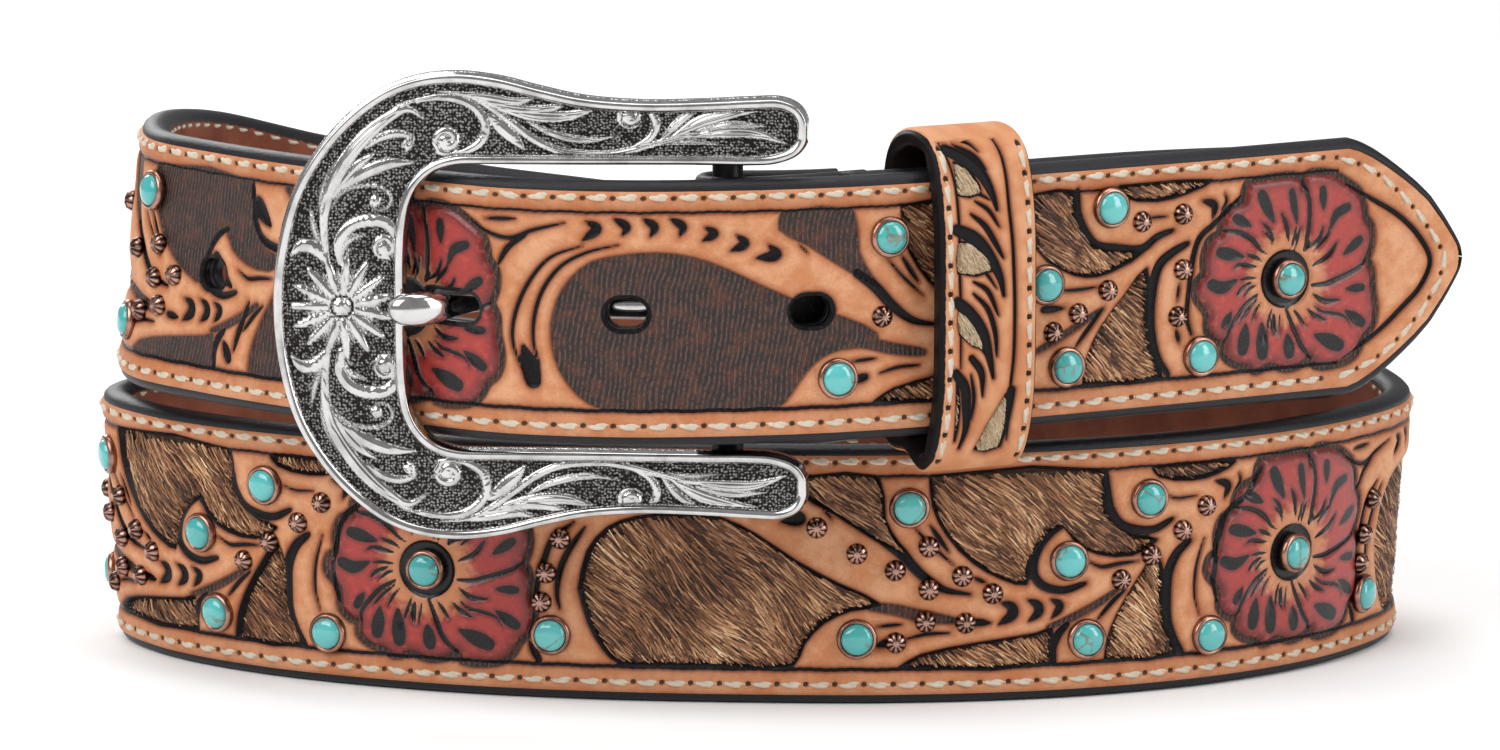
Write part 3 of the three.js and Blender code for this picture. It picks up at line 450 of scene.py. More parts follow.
# %% Lay the chart on a sheet of points
EDGE_BAND = 1.15
LOW_GROOVE, HIGH_GROOVE = (4.75, 5.6), (33.25, 33.9)
STITCH_PITCH = 4.15
LOW_STITCHES, HIGH_STITCHES = 2.95, 35.75
STITCH_TURN_S = 1059.5
TIP_STITCH_LINE = [(1058.6, 35.5), (1063.2, 34), (1066.9, 31.9), (1071.6, 28), (1074.9, 24.4),
                   (1078.2, 19.2), (1076.9, 15.3), (1072.8, 10.3), (1067.4, 6.1), (1063.2, 4.2),
                   (1058.6, 3.0)]
HOLES = [(873, 5.8), (893.9, 5.8), (919.8, 10.4), (945.9, 5.8), (971.9, 5.8)]
HOLE_HEIGHT = 4.4
TAPERS = {
    "knife": lambda h: 0.3 + 0.7 * np.sin(np.pi * h) ** 0.7,
    "moon": lambda h: 0.12 + 0.88 * np.sin(np.pi * h),
    "drop": lambda h: 0.15 + 0.85 * np.sin(np.pi * np.minimum(0.62 * h + 0.06, 1)) ** 1.2,
    "rim": lambda h: 0.45 + 0.55 * np.sin(np.pi * h) ** 0.5,
    "ground": lambda h: 0.5 + 0.5 * np.sin(np.pi * h) ** 0.5,
}


def from_strip(x, y, points, width, kind):
    """Distance from the side of a tapered strip along a curve, negative inside it."""
    curve = smooth_curve(points, 5)
    run = np.concatenate([[0], np.cumsum(np.hypot(*np.diff(curve, axis=0).T))])
    radius = width / 2 * TAPERS[kind](run / run[-1])
    best = np.full(x.shape, 9.0)
    for (x0, y0), (x1, y1), r0, r1 in zip(curve, curve[1:], radius, radius[1:]):
        dx, dy = x1 - x0, y1 - y0
        h = np.clip(((x - x0) * dx + (y - y0) * dy) / (dx * dx + dy * dy + 1e-12), 0, 1)
        reach = np.hypot(x - x0 - h * dx, y - y0 - h * dy) - (r0 + (r1 - r0) * h)
        best = np.minimum(best, reach)
    return best


def from_patch(x, y, outline, smooth=3):
    """Distance from the outline of a patch, negative inside it."""
    if smooth > 1:
        loop = smooth_curve(list(outline) + [outline[0]], smooth)
    else:
        loop = np.array(list(outline) + [outline[0]], float)
    best = np.full(x.shape, 9.0)
    inside = np.zeros(x.shape, bool)
    for (x0, y0), (x1, y1) in zip(loop, loop[1:]):
        dx, dy = x1 - x0, y1 - y0
        h = np.clip(((x - x0) * dx + (y - y0) * dy) / (dx * dx + dy * dy + 1e-12), 0, 1)
        best = np.minimum(best, np.hypot(x - x0 - h * dx, y - y0 - h * dy))
        crosses = (y0 > y) != (y1 > y)
        if y1 != y0:
            inside ^= crosses & (x < x0 + (y - y0) * dx / dy)
    return np.where(inside, -best, best)


class Sheet:
    """Points of the strap laid flat, in rows across it, with distances for each ink."""

    INKS = ("black", "ground", "petal", "window", "seed", "stitch", "hole", "inside_flower")

    def __init__(self, s, t):
        self.s, self.t = s, t
        self.ink = {name: np.full(s.shape, 9.0) for name in self.INKS}
        self.flower_reach = np.full(s.shape, 30.0)

    def rows(self, points, margin=4.0):
        along = [p[0] for p in points]
        first = np.searchsorted(self.s[:, 0], min(along) - margin)
        last = np.searchsorted(self.s[:, 0], max(along) + margin)
        return slice(first, last)

    def lay(self, ink, points, measure, *settings):
        rows = self.rows(points)
        if rows.stop > rows.start:
            found = measure(self.s[rows], self.t[rows], points, *settings)
            self.ink[ink][rows] = np.minimum(self.ink[ink][rows], found)

    def strip(self, kind, width, points):
        self.lay("ground" if kind == "ground" else "black", points, from_strip, width, kind)

    def flower(self, s, t):
        def seat(points):
            return [(s + x, t + y) for x, y in points]
        self.lay("petal", seat(PETALS), from_patch, 3)
        for kind, width, points in FOLDS:
            self.strip(kind, width, seat(points))
        for width, points in SEEDS:
            self.lay("seed", seat(points), from_strip, width, "drop")
        for width, points in VEINS:
            self.strip("knife", width, seat(points))
        rows = self.rows([(s, t)], 18)
        reach = np.hypot(self.s[rows] - s, self.t[rows] - t)
        self.ink["black"][rows] = np.minimum(self.ink["black"][rows], reach - RING_RADIUS)
        self.flower_reach[rows] = np.minimum(self.flower_reach[rows], reach)

    def repeat(self, s, length, cuts, windows, ink):
        scale = length / REPEAT

        def seat(points):
            return [(s + u * scale, t) for u, t in points]
        for outline in windows:
            self.lay(ink, seat(outline), from_patch, 2)
        for kind, width, points in cuts:
            self.strip(kind, width, seat(points))


def chart_strap(sheet):
    """Lays the whole strap's tooling on the sheet."""
    for s, length in REPEATS[:-1]:
        sheet.repeat(s, length, CUTS, [WINDOWS[name] for name in FULL_WINDOWS], "window")
    s, length = REPEATS[-1]
    sheet.repeat(s, length, CUTS + DROPS, [WINDOWS["oval"]], "window")
    others = [WINDOWS[name] for name in FULL_WINDOWS if name != "oval"]
    sheet.repeat(s, length, [], others, "ground")
    near = [cut for cut in CUTS if 23 < cut[2][0][0] < 80 or cut[2][0][1] > 29.5 and
            cut[2][0][0] < 23]
    sheet.repeat(UPPER_FLOWER, REPEAT, near + HOLE_CUTS, [HOLE_GROUND, WINDOWS["top_triangle"]],
                 "ground")
    sheet.repeat(UPPER_FLOWER, REPEAT, [], [WINDOWS["large_start"], WINDOWS["low_sliver"]],
                 "window")
    for outline in TIP_WINDOWS:
        sheet.lay("window", outline, from_patch, 2)
    for kind, width, points in TIP_CUTS:
        sheet.strip(kind, width, points)
    for s in [s for s, _ in REPEATS] + [UPPER_FLOWER, TIP_FLOWER]:
        sheet.flower(s, FLOWER_T)
    for s, length in HOLES:
        ends = [(s - length / 2 + HOLE_HEIGHT / 2, STRAP_WIDTH / 2),
                (s + length / 2 - HOLE_HEIGHT / 2 + 0.01, STRAP_WIDTH / 2)]
        rows = sheet.rows(ends)
        (x0, y0), (x1, _) = ends
        x = sheet.s[rows]
        reach = np.hypot(x - np.clip(x, x0, x1), sheet.t[rows] - y0) - HOLE_HEIGHT / 2
        sheet.ink["hole"][rows] = np.minimum(sheet.ink["hole"][rows], reach)

# %% [markdown]
# The leather's face is a fine grid of points that rises and falls: cuts are grooves, the
# ground between leaves is pressed down, petals swell and the windows drop to the hide. A
# height worked out for each point gives this better than carving by hand could.

# %% Heights of the tooled face
FACE = 2.3
FLOOR = 0.65
BACK = 0.2
# Columns: share of the tip's length from its end, share of the strap's half width.
TIP_HALF = np.array([(0, 0.0), (0.006, 0.09), (0.02, 0.145), (0.06, 0.215), (0.15, 0.35), (0.28, 0.52), (0.4, 0.63),
                     (0.52, 0.725), (0.65, 0.82), (0.78, 0.905), (0.9, 0.968), (1, 1), (99, 1)])


def half_width(s, inset=0.0):
    """Half the strap's width at s, narrowing to the blunt point of its tip."""
    reach = (STRAP_END - inset - np.asarray(s, float)) / TIP_LENGTH
    return np.interp(reach, *TIP_HALF.T) * (STRAP_WIDTH / 2 - inset)


def needle_holes(sheet):
    """Distance from the nearest needle hole of the two rows of stitches."""
    k = np.abs((sheet.s / STITCH_PITCH) % 1 - 0.5) * STITCH_PITCH
    low = np.hypot(k * 0.8, sheet.t - LOW_STITCHES - 0.1)
    high = np.hypot(k * 0.8, sheet.t - HIGH_STITCHES + 0.1)
    nearest = np.where(sheet.s < STITCH_TURN_S, np.minimum(low, high), 9.0)
    if sheet.s[-1, 0] > STITCH_TURN_S:
        for s, t in round_tip(0.0)[0]:
            nearest = np.minimum(nearest, np.hypot(sheet.s - s, sheet.t - t))
    return nearest - 0.38


def round_tip(start):
    """Places along the line of stitches at the tip, a pitch apart, and its direction there."""
    line = smooth_curve(TIP_STITCH_LINE, 12)
    run = np.concatenate([[0], np.cumsum(np.hypot(*np.diff(line, axis=0).T))])
    count = int(round(run[-1] / STITCH_PITCH))
    at = (np.arange(count) + start) * run[-1] / count
    here = np.stack([np.interp(at, run, line[:, k]) for k in (0, 1)], 1)
    ahead = np.stack([np.interp(at + 0.3, run, line[:, k]) - np.interp(at - 0.3, run, line[:, k])
                      for k in (0, 1)], 1)
    return here, np.arctan2(ahead[:, 1], ahead[:, 0])


def face_heights(sheet, edge):
    """How far out from the strap's middle each point of the tooled face is."""
    ink = sheet.ink
    around = np.abs(ink["petal"] - 0.5) - 0.5
    ink["ground"] = np.minimum(ink["ground"], around)
    ink["stitch"] = needle_holes(sheet)
    groove = np.full(sheet.s.shape, 9.0)
    for low, high in (LOW_GROOVE, HIGH_GROOVE):
        wave = 0.05 * np.sin(sheet.s * 0.9) + 0.03 * np.sin(sheet.s * 4.3 + 1)
        band = np.abs(sheet.t - (low + high) / 2 - wave) - (high - low) / 2 * 0.62
        groove = np.minimum(groove, np.where(sheet.s < STITCH_TURN_S, band, 9.0))
    ink["black"] = np.minimum(ink["black"], groove)
    ink["black"] = np.minimum(ink["black"], np.abs(ink["window"] + 0.12) - 0.34)
    ink["black"] = np.minimum(ink["black"], ink["hole"] - 0.6)
    height = np.full(sheet.s.shape, FACE)
    leaf = np.minimum(np.minimum(ink["black"], ink["ground"]), ink["window"])
    height -= 0.36 * np.exp(-np.maximum(leaf, 0) / 0.75)
    height -= 0.36 * step_up(-ink["black"], -0.12, 0.3)
    height -= 0.30 * step_up(-ink["ground"], -0.1, 0.2) * (ink["black"] > 0)
    swell = step_up(-ink["petal"], 0.0, 1.0) * step_up(sheet.flower_reach, 5, 11)
    height += 0.45 * swell
    height += 0.2 * np.exp(-((ink["seed"] - 0.35) / 0.33) ** 2) * (ink["petal"] < 0)
    height -= 0.42 * step_up(-ink["seed"], -0.05, 0.45)
    height -= 0.5 * step_up(-ink["stitch"], -0.15, 0.25)
    floor = step_up(-ink["window"], 0.0, 0.5)
    height = height * (1 - floor) + FLOOR * floor
    return np.minimum(height, FACE - 1.0 * (1 - step_up(edge, 0.0, 0.9)))


def tooled_piece(name, s, columns, material):
    """A closed band of tooled leather over the rows s with so many points across."""
    half = half_width(s, SKIN_INSET)[:, None]
    across = np.linspace(-1, 1, columns)[None, :]
    t = STRAP_WIDTH / 2 + half * across
    sheet = Sheet(np.repeat(s[:, None], columns, 1), t)
    chart_strap(sheet)
    edge = half * (1 - np.abs(across)) + 0 * t
    heights = face_heights(sheet, edge)
    front = on_strap(sheet.s, t, heights)
    back_t = STRAP_WIDTH / 2 + half * np.array([[1, 1 / 3, -1 / 3, -1]])
    back = on_strap(np.repeat(s[:, None], 4, 1), back_t, BACK)
    points = np.concatenate([front, back], 1)
    marks = {"along": sheet.s, "across": t, "lift": heights, "core": sheet.flower_reach}
    marks.update({ink: sheet.ink[ink] for ink in ("black", "ground", "petal", "window", "seed",
                                                  "stitch")})
    flat = {key: np.concatenate([v, np.repeat(v[:, -1:], 4, 1)], 1).ravel()
            for key, v in marks.items()}
    ring = columns + 4
    return add_piece(name, points.reshape(-1, 3), tube_faces(len(s), ring), material, flat)


# %% Finish of the tooled leather
SKIN_INSET = 0.95
TAN, PALE_TAN, BURNT = (0.52, 0.205, 0.085), (0.63, 0.315, 0.165), (0.30, 0.075, 0.018)
SCORCHED = (0.16, 0.036, 0.01)
INK_BLACK, GROUND_DARK, GROUND_RED = (0.008, 0.007, 0.008), (0.022, 0.016, 0.015), (0.105, 0.034, 0.02)
PETAL_RED, PETAL_SHADE = (0.33, 0.024, 0.017), (0.13, 0.009, 0.007)


def tooled_leather(name="tooled_leather"):
    """Tan leather with burnt shading by its cuts, black cuts, a dotted ground whose bead tops carry a painted
    highlight, red petals painted deeper at their edges as painted shade, and needle holes painted near black as
    painted shade.
    """
    material, tree, shader = new_material(name)
    place = strap_place(tree)
    black, ground, petal = mark(tree, "black"), mark(tree, "ground"), mark(tree, "petal")
    window, seed, holes = mark(tree, "window"), mark(tree, "seed"), mark(tree, "stitch")
    clouds = noise(tree, place, 0.16, 4)
    grain = noise(tree, place, 3.2, 6, 0.7)
    blotches = sums(tree, "ADD", clouds, sums(tree, "MULTIPLY", noise(tree, place, 0.7, 4, 0.6), 0.6))
    colour = mix(tree, ramp(tree, blotches, 0.6, 0.98), TAN, PALE_TAN)
    colour = mix(tree, sums(tree, "MULTIPLY", ramp(tree, grain, 0.5, 0.72), 0.42), colour, BURNT)
    near = sums(tree, "MINIMUM", sums(tree, "MINIMUM", black, ground), window)
    tight = ramp(tree, near, 0.42, 0.06, 0, 0.75)
    near = sums(tree, "ADD", near, sums(tree, "MULTIPLY", noise(tree, place, 1.1, 3), 0.5))
    colour = mix(tree, ramp(tree, near, 1.7, 0.15, 0, 0.66), colour, BURNT)
    colour = mix(tree, tight, colour, SCORCHED)
    rim = sums(tree, "ABSOLUTE", sums(tree, "SUBTRACT", mark(tree, "across"), STRAP_WIDTH / 2))
    colour = mix(tree, ramp(tree, rim, 14.2, 15.4, 0, 0.3), colour, BURNT)
    wave = node(tree, "ShaderNodeTexWave", None, Vector=strap_place(tree, 8), Scale=0.42,
                Distortion=8.0, Detail=3.0)
    wave.inputs["Detail Scale"].default_value = 0.35
    broken = ramp(tree, noise(tree, place, 1.6, 2), 0.36, 0.56, 0.25, 1.0)
    bead = sums(tree, "MULTIPLY", ramp(tree, wave.outputs["Fac"], 0.3, 0.85), broken)
    specks = noise(tree, place, 0.35, 5, 0.7)
    dark = mix(tree, ramp(tree, specks, 0.44, 0.66, 0, 0.7), GROUND_DARK, GROUND_RED)
    # The tops of the ground's beads are painted lighter, a painted highlight; their hollows stay dark.
    dark = mix(tree, sums(tree, "MULTIPLY", bead, 0.62), dark, (0.15, 0.085, 0.065))
    on_ground = ramp(tree, ground, 0.08, -0.08)
    colour = mix(tree, on_ground, colour, dark)
    # The petals are painted deeper red at their edges and by the cuts and seeds: painted shade where the swollen
    # petals fall away.
    reds = mix(tree, ramp(tree, petal, -0.1, -2.2), PETAL_SHADE, PETAL_RED)
    cuts = sums(tree, "MINIMUM", black, seed)
    reds = mix(tree, ramp(tree, cuts, 0.75, 0.05, 0, 0.8), reds, PETAL_SHADE)
    reds = mix(tree, ramp(tree, noise(tree, place, 0.9, 4), 0.5, 0.75, 0, 0.5), reds, (0.5, 0.06, 0.035))
    core = sums(tree, "ADD", mark(tree, "core"), sums(tree, "MULTIPLY", noise(tree, place, 0.8, 2), 4))
    reds = mix(tree, ramp(tree, core, 10.2, 7.4, 0, 0.92), reds, TAN)
    colour = mix(tree, ramp(tree, petal, 0.05, -0.05), colour, reds)
    inked = sums(tree, "MAXIMUM", ramp(tree, black, 0.07, -0.05), ramp(tree, seed, 0.12, -0.1))
    # Needle holes are painted near black: painted shade in the holes.
    inked = sums(tree, "MAXIMUM", inked, ramp(tree, holes, 0.12, -0.1, 0, 0.85))
    rough_edge = sums(tree, "ADD", rim, sums(tree, "MULTIPLY", noise(tree, place, 0.7, 4), 0.9))
    inked = sums(tree, "MAXIMUM", inked, ramp(tree, rough_edge, 18.12, 18.2))
    worn = mix(tree, ramp(tree, noise(tree, place, 2.2, 4), 0.5, 0.75, 0, 0.3), INK_BLACK,
               (0.05, 0.035, 0.03))
    colour = mix(tree, inked, colour, worn)
    colour = mix(tree, ramp(tree, window, -0.3, -0.5), colour, (0.035, 0.018, 0.009))
    rough = sums(tree, "SUBTRACT", 0.56, sums(tree, "MULTIPLY", inked, 0.3))
    rough = sums(tree, "SUBTRACT", rough, ramp(tree, petal, 0, -0.1, 0, 0.22))
    pores = node(tree, "ShaderNodeTexVoronoi", None, Vector=place, Scale=2.6).outputs["Distance"]
    skin = sums(tree, "ADD", sums(tree, "MULTIPLY", pores, 0.5), grain)
    relief = sums(tree, "ADD", sums(tree, "MULTIPLY", skin, 0.35),
                  sums(tree, "MULTIPLY", sums(tree, "MULTIPLY", bead, on_ground), 1.6))
    finish_shader(tree, shader, colour, rough, bump(tree, relief, 0.8, 0.2))
    tree.links.new(sums(tree, "SUBTRACT", 0.32, sums(tree, "MULTIPLY", inked, 0.22)),
                   shader.inputs["Specular IOR Level"])
    tree.links.new(ramp(tree, petal, 0, -0.15, 0, 0.4), shader.inputs["Coat Weight"])
    shader.inputs["Coat Roughness"].default_value = 0.22
    return material


def rows_between(start, end, step):
    return np.linspace(start, end, int(round((end - start) / step)) + 1)


leather = tooled_leather()
LOWER_FROM, LOWER_TO, UPPER_FROM = 340.0, 572.0, 832.0
tip_rows = STRAP_END - SKIN_INSET - 0.02 - TIP_LENGTH * np.linspace(1, 0, 90) ** 1.3
FINE = 0.34
tooled = [
    tooled_piece("tooled_leather_back_1", rows_between(4, LOWER_FROM, 0.62), 58, leather),
    tooled_piece("tooled_leather_lower", rows_between(LOWER_FROM, LOWER_TO, FINE), 108, leather),
    tooled_piece("tooled_leather_back_2", rows_between(LOWER_TO, UPPER_FROM, 0.62), 58, leather),
    tooled_piece("tooled_leather_upper", np.concatenate([
        rows_between(UPPER_FROM, tip_rows[0] - 0.3, FINE + 0.03), tip_rows]), 108, leather),
]

for piece in tooled:
    hand_over(piece, "tooled_leather")
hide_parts("strap_skin")

# %% [markdown]
# Under the face is the strap's core: a russet lining and edges that are rounded, painted
# black and polished. One section swept along the path makes it, so the edge stays even.

# %% The core of the strap and its lining
CORE_INNER = -2.3
# Columns: in from the edge of the strap, out from the middle of its thickness.
CORE_EDGE = [(2.6, -2.3), (1.7, -2.27), (0.95, -2.0), (0.4, -1.5), (0.1, -0.85), (0.0, -0.1),
             (0.08, 0.65), (0.32, 1.25), (0.75, 1.7), (1.3, 1.85), (1.9, 1.75), (2.3, 0.1)]


def swept_core(name, s, material):
    """The strap's core over the rows s, its section the same all along but for the tip."""
    low = np.array(CORE_EDGE)
    half = half_width(s)[:, None]
    squeeze = np.minimum(1.0, half / 3.2)
    low_t = STRAP_WIDTH / 2 - half + low[None, :, 0] * squeeze
    high_t = STRAP_WIDTH / 2 + half - low[None, ::-1, 0] * squeeze
    middle = np.full((len(s), 1), STRAP_WIDTH / 2)
    t = np.concatenate([middle, low_t[:, :], middle, high_t], 1)
    n = np.concatenate([[CORE_INNER], low[:, 1], [0.1], low[::-1, 1]])[None, :] + 0 * t
    points = on_strap(np.repeat(s[:, None], t.shape[1], 1), t, n)
    wide = np.repeat(s[:, None], t.shape[1], 1)
    marks = {"along": wide.ravel(), "across": t.ravel(), "lift": n.ravel(),
             "rim": (half - np.abs(t - STRAP_WIDTH / 2)).ravel()}
    return add_piece(name, points.reshape(-1, 3), tube_faces(len(s), t.shape[1]), material, marks)


def core_leather():
    """Russet lining with a fine grain, black and glossy at the edges."""
    material, tree, shader = new_material("lining_and_edges")
    place = strap_place(tree)
    grain = noise(tree, place, 2.4, 6, 0.65)
    colour = mix(tree, ramp(tree, noise(tree, place, 0.12, 4), 0.3, 0.7), (0.17, 0.045, 0.022),
                 (0.27, 0.085, 0.042))
    colour = mix(tree, ramp(tree, grain, 0.5, 0.75, 0, 0.5), colour, (0.09, 0.024, 0.013))
    ragged = sums(tree, "ADD", mark(tree, "rim"), sums(tree, "MULTIPLY", noise(tree, place, 0.8, 3), 0.8))
    painted = ramp(tree, ragged, 2.25, 2.05)
    painted = sums(tree, "MAXIMUM", painted, ramp(tree, mark(tree, "lift"), -1.9, -1.7))
    colour = mix(tree, painted, colour, (0.010, 0.009, 0.012))
    rough = sums(tree, "SUBTRACT", 0.62, sums(tree, "MULTIPLY", painted, 0.2))
    ripple = noise(tree, strap_place(tree, 0, (0.6, 2.5, 1)), 1.6, 4)
    relief = sums(tree, "ADD", grain, ripple)
    finish_shader(tree, shader, colour, rough, bump(tree, relief, 0.45, 0.2), Specular_IOR_Level=0.3)
    return material


core_rows = np.concatenate([rows_between(0, STRAP_END - TIP_LENGTH, 1.9),
                            STRAP_END - 0.01 - TIP_LENGTH * np.linspace(0.97, 0, 30) ** 1.3])
lining = core_leather()
core = hand_over(swept_core("strap_core", core_rows, lining), "lining_leather", "strap_base")

# %% [markdown]
# The windows show cowhide with its hair on. Short ribbons lie in them, all combed to the
# lower right, dark and golden in patches as brindle hair is. Each ribbon that would cross
# the leather's edge is shortened or left out.

# %% Hair in the windows
HAIR_TURN = -44.0
random = np.random.default_rng(11)


def window_loops():
    """Outlines of all windows with hair, along the strap."""
    loops = []
    for s, length in REPEATS:
        names = FULL_WINDOWS if s < REPEATS[-1][0] else ["oval"]
        loops += [[(s + u * length / REPEAT, t) for u, t in WINDOWS[name]] for name in names]
    loops += [[(UPPER_FLOWER + u, t) for u, t in WINDOWS[name]]
              for name in ("large_start", "low_sliver")]
    return [loop for loop in loops + TIP_WINDOWS if loop[0][0] > 20]


def brindle(s, t, mixing):
    """Colour of hair rooted at a place on the strap."""
    patch = (np.sin(s * 0.31 + 1.3 * np.sin(t * 0.22)) + np.sin(s * 0.13 - t * 0.27 + 2)
             + 0.8 * np.sin(s * 0.71 + t * 0.35)) / 2.8
    side = s * math.sin(math.radians(-HAIR_TURN)) + t * math.cos(math.radians(HAIR_TURN))
    streak = np.sin(side * 5.3 + 1.5 * np.sin(s * 0.4)) * 0.5 + np.sin(side * 11.7 + 1.1 * np.sin(t)) * 0.5
    tone = np.clip(0.37 + 0.22 * patch + 0.16 * streak + 0.66 * (mixing - 0.5), 0, 1)[:, None]
    shades = np.array([[0.022, 0.010, 0.007], [0.13, 0.050, 0.022], [0.40, 0.175, 0.078],
                       [0.74, 0.43, 0.22], [0.95, 0.72, 0.48]])
    place = tone * 4
    return np.concatenate([np.stack([np.interp(place[:, 0], range(5), shades[:, k])
                                     for k in range(3)], 1), np.ones((len(s), 1))], 1)


def ribbons(root, tip, width, arch, seat):
    """Points of ribbons from root to tip: two at the root, two in the middle and one tip."""
    lean = unit(tip - root) @ np.array([[0, 1], [-1, 0]])
    middle = root * 0.45 + tip * 0.55
    side = lean * width[:, None] / 2
    flat = np.stack([root - side, root + side, middle - side * 0.8, middle + side * 0.8, tip], 1)
    lift = np.stack([0 * arch, 0 * arch, arch, arch, arch * 0.45], 1)
    return seat(flat[..., 0], flat[..., 1], lift)


def hair_piece(name, loops, density, width, material):
    """One joined piece of hair for these windows."""
    roots, tips = [], []
    for loop in loops:
        low, high = np.min(loop, 0), np.max(loop, 0)
        count = int(density * np.prod(high - low))
        root = low + random.random((count, 2)) * (high - low)
        swirl = 9 * np.sin(root[:, 0] * 0.35 + 1) + 7 * np.sin(root[:, 1] * 0.5 + root[:, 0] * 0.2)
        turn = np.radians(HAIR_TURN + swirl + random.normal(0, 5, count))
        step = np.stack([np.cos(turn), np.sin(turn)], 1) * random.uniform(3.0, 6.5, (count, 1))
        inside = from_patch(root[:, 0], root[:, 1], loop, 2) < -0.3
        root, step = root[inside], step[inside]
        for _ in range(4):
            tip = root + step
            outside = from_patch(tip[:, 0], tip[:, 1], loop, 2) > -0.12
            step = np.where(outside[:, None], step * 0.6, step)
        kept = ~outside | (np.hypot(*step.T) < 1.1)
        roots.append(root[kept])
        tips.append((root + step)[kept])
    root, tip = np.concatenate(roots), np.concatenate(tips)
    count = len(root)
    base = FLOOR + random.uniform(0.02, 0.5, count)
    arch = random.uniform(0.15, 0.6, count)

    def seat(s, t, lift):
        return on_strap(s, t, base[:, None] + lift)
    points = ribbons(root, tip, random.uniform(0.7, 1.3, count) * width, arch, seat)
    k = np.arange(count)[:, None] * 5
    faces = [k + [0, 1, 3, 2], k + [2, 3, 4]]
    shade = np.repeat(brindle(root[:, 0], root[:, 1], random.random(count)), 5, 0)
    return add_piece(name, points.reshape(-1, 3), faces, material, {"shade": shade}, smooth=False)


def hair_finish(name):
    material, tree, shader = new_material(name)
    shade = node(tree, "ShaderNodeAttribute", {"attribute_name": "shade"}).outputs["Color"]
    strands = noise(tree, object_place(tree), 3000, 2)
    colour = mix(tree, ramp(tree, strands, 0.4, 0.7, 0, 0.3), shade, (0.06, 0.028, 0.014))
    finish_shader(tree, shader, colour, 0.55, None, Specular_IOR_Level=0.35)
    return material


hair = hair_finish("cowhide_hair")
loops = window_loops()
in_front = [p for p in loops if LOWER_FROM < p[0][0] < LOWER_TO or p[0][0] > UPPER_FROM - 25]
behind = [p for p in loops if p not in in_front]
hair_pieces = [hair_piece("hair_front", in_front, 8.0, 0.22, hair),
               hair_piece("hair_back", behind, 2.6, 0.32, hair)]
for piece in hair_pieces:
    hand_over(piece, "hair_on_hide", "hide_inlay")

# %% [markdown]
# Waxed thread runs along both edges in a lockstitch. One stitch is two plies wound round
# each other that dip into the leather at both ends; it is made once and set at every step.

# %% Stitches
STITCH_LENGTH, PLY = 3.35, 0.39


def stitch_shape(rings, sides):
    """Points and faces of one stitch along x, lying at height 0: two twisted plies."""
    h = np.linspace(0, 1, rings)[:, None]
    turn = np.linspace(0, 2 * np.pi, sides, endpoint=False)[None]
    shapes, faces = [], []
    for ply in (0, np.pi):
        spin = h * np.pi * 1.15 + ply + 0.6
        fat = PLY * np.sin(np.pi * np.clip(h * 0.86 + 0.07, 0, 1)) ** 0.35
        x = (h - 0.5) * STITCH_LENGTH + 0 * turn
        y = 0.17 * np.cos(spin) + fat * np.cos(turn)
        z = 0.14 * np.sin(spin) + fat * 0.8 * np.sin(turn) + 0.42 * np.sin(np.pi * h) - 0.34
        faces += [f + len(shapes) * rings * sides for f in tube_faces(rings, sides)[:1]]
        shapes.append(np.stack([x, y, z], -1).reshape(-1, 3))
    return np.concatenate(shapes), np.concatenate(faces)


def set_along(shape, s, t, n, turn=0.0):
    """Copies of a small shape set on the strap at each place, turned in its plane."""
    s, t, n = (np.atleast_1d(np.asarray(v, float)) for v in np.broadcast_arrays(s, t, n))
    turn = np.broadcast_to(turn, s.shape)[:, None]
    along, up, out = unit(follow(s, ALONG)), follow(s, UP), follow(s, OUT)
    right = along * np.cos(turn) + up * np.sin(turn)
    rise = up * np.cos(turn) - along * np.sin(turn)
    place = on_strap(s, t, n)
    return (place[:, None] + shape[None, :, :1] * right[:, None] + shape[None, :, 1:2]
            * rise[:, None] + shape[None, :, 2:] * out[:, None]).reshape(-1, 3)


def repeat_faces(faces, count, points):
    return (faces[None] + (np.arange(count) * points)[:, None, None]).reshape(-1, faces.shape[1])


def stitch_rows():
    """Places of all stitches: along, across, and turn in the strap's plane."""
    first = math.ceil(SKIN_INSET * 6 / STITCH_PITCH)
    k = np.arange(first + 1, int(STITCH_TURN_S / STITCH_PITCH))
    s = k * STITCH_PITCH
    tip, turn = round_tip(0.5)
    return (np.concatenate([s, s, tip[:, 0]]),
            np.concatenate([0 * s + LOW_STITCHES, 0 * s + HIGH_STITCHES, tip[:, 1]]),
            np.concatenate([0 * s, 0 * s, turn]))


def thread_finish():
    material, tree, shader = new_material("waxed_thread")
    place = object_place(tree)
    colour = mix(tree, noise(tree, place, 900, 3), (0.44, 0.37, 0.28), (0.68, 0.60, 0.48))
    relief = noise(tree, place, 5200, 2)
    finish_shader(tree, shader, colour, 0.6, bump(tree, relief, 0.5, 0.1))
    return material


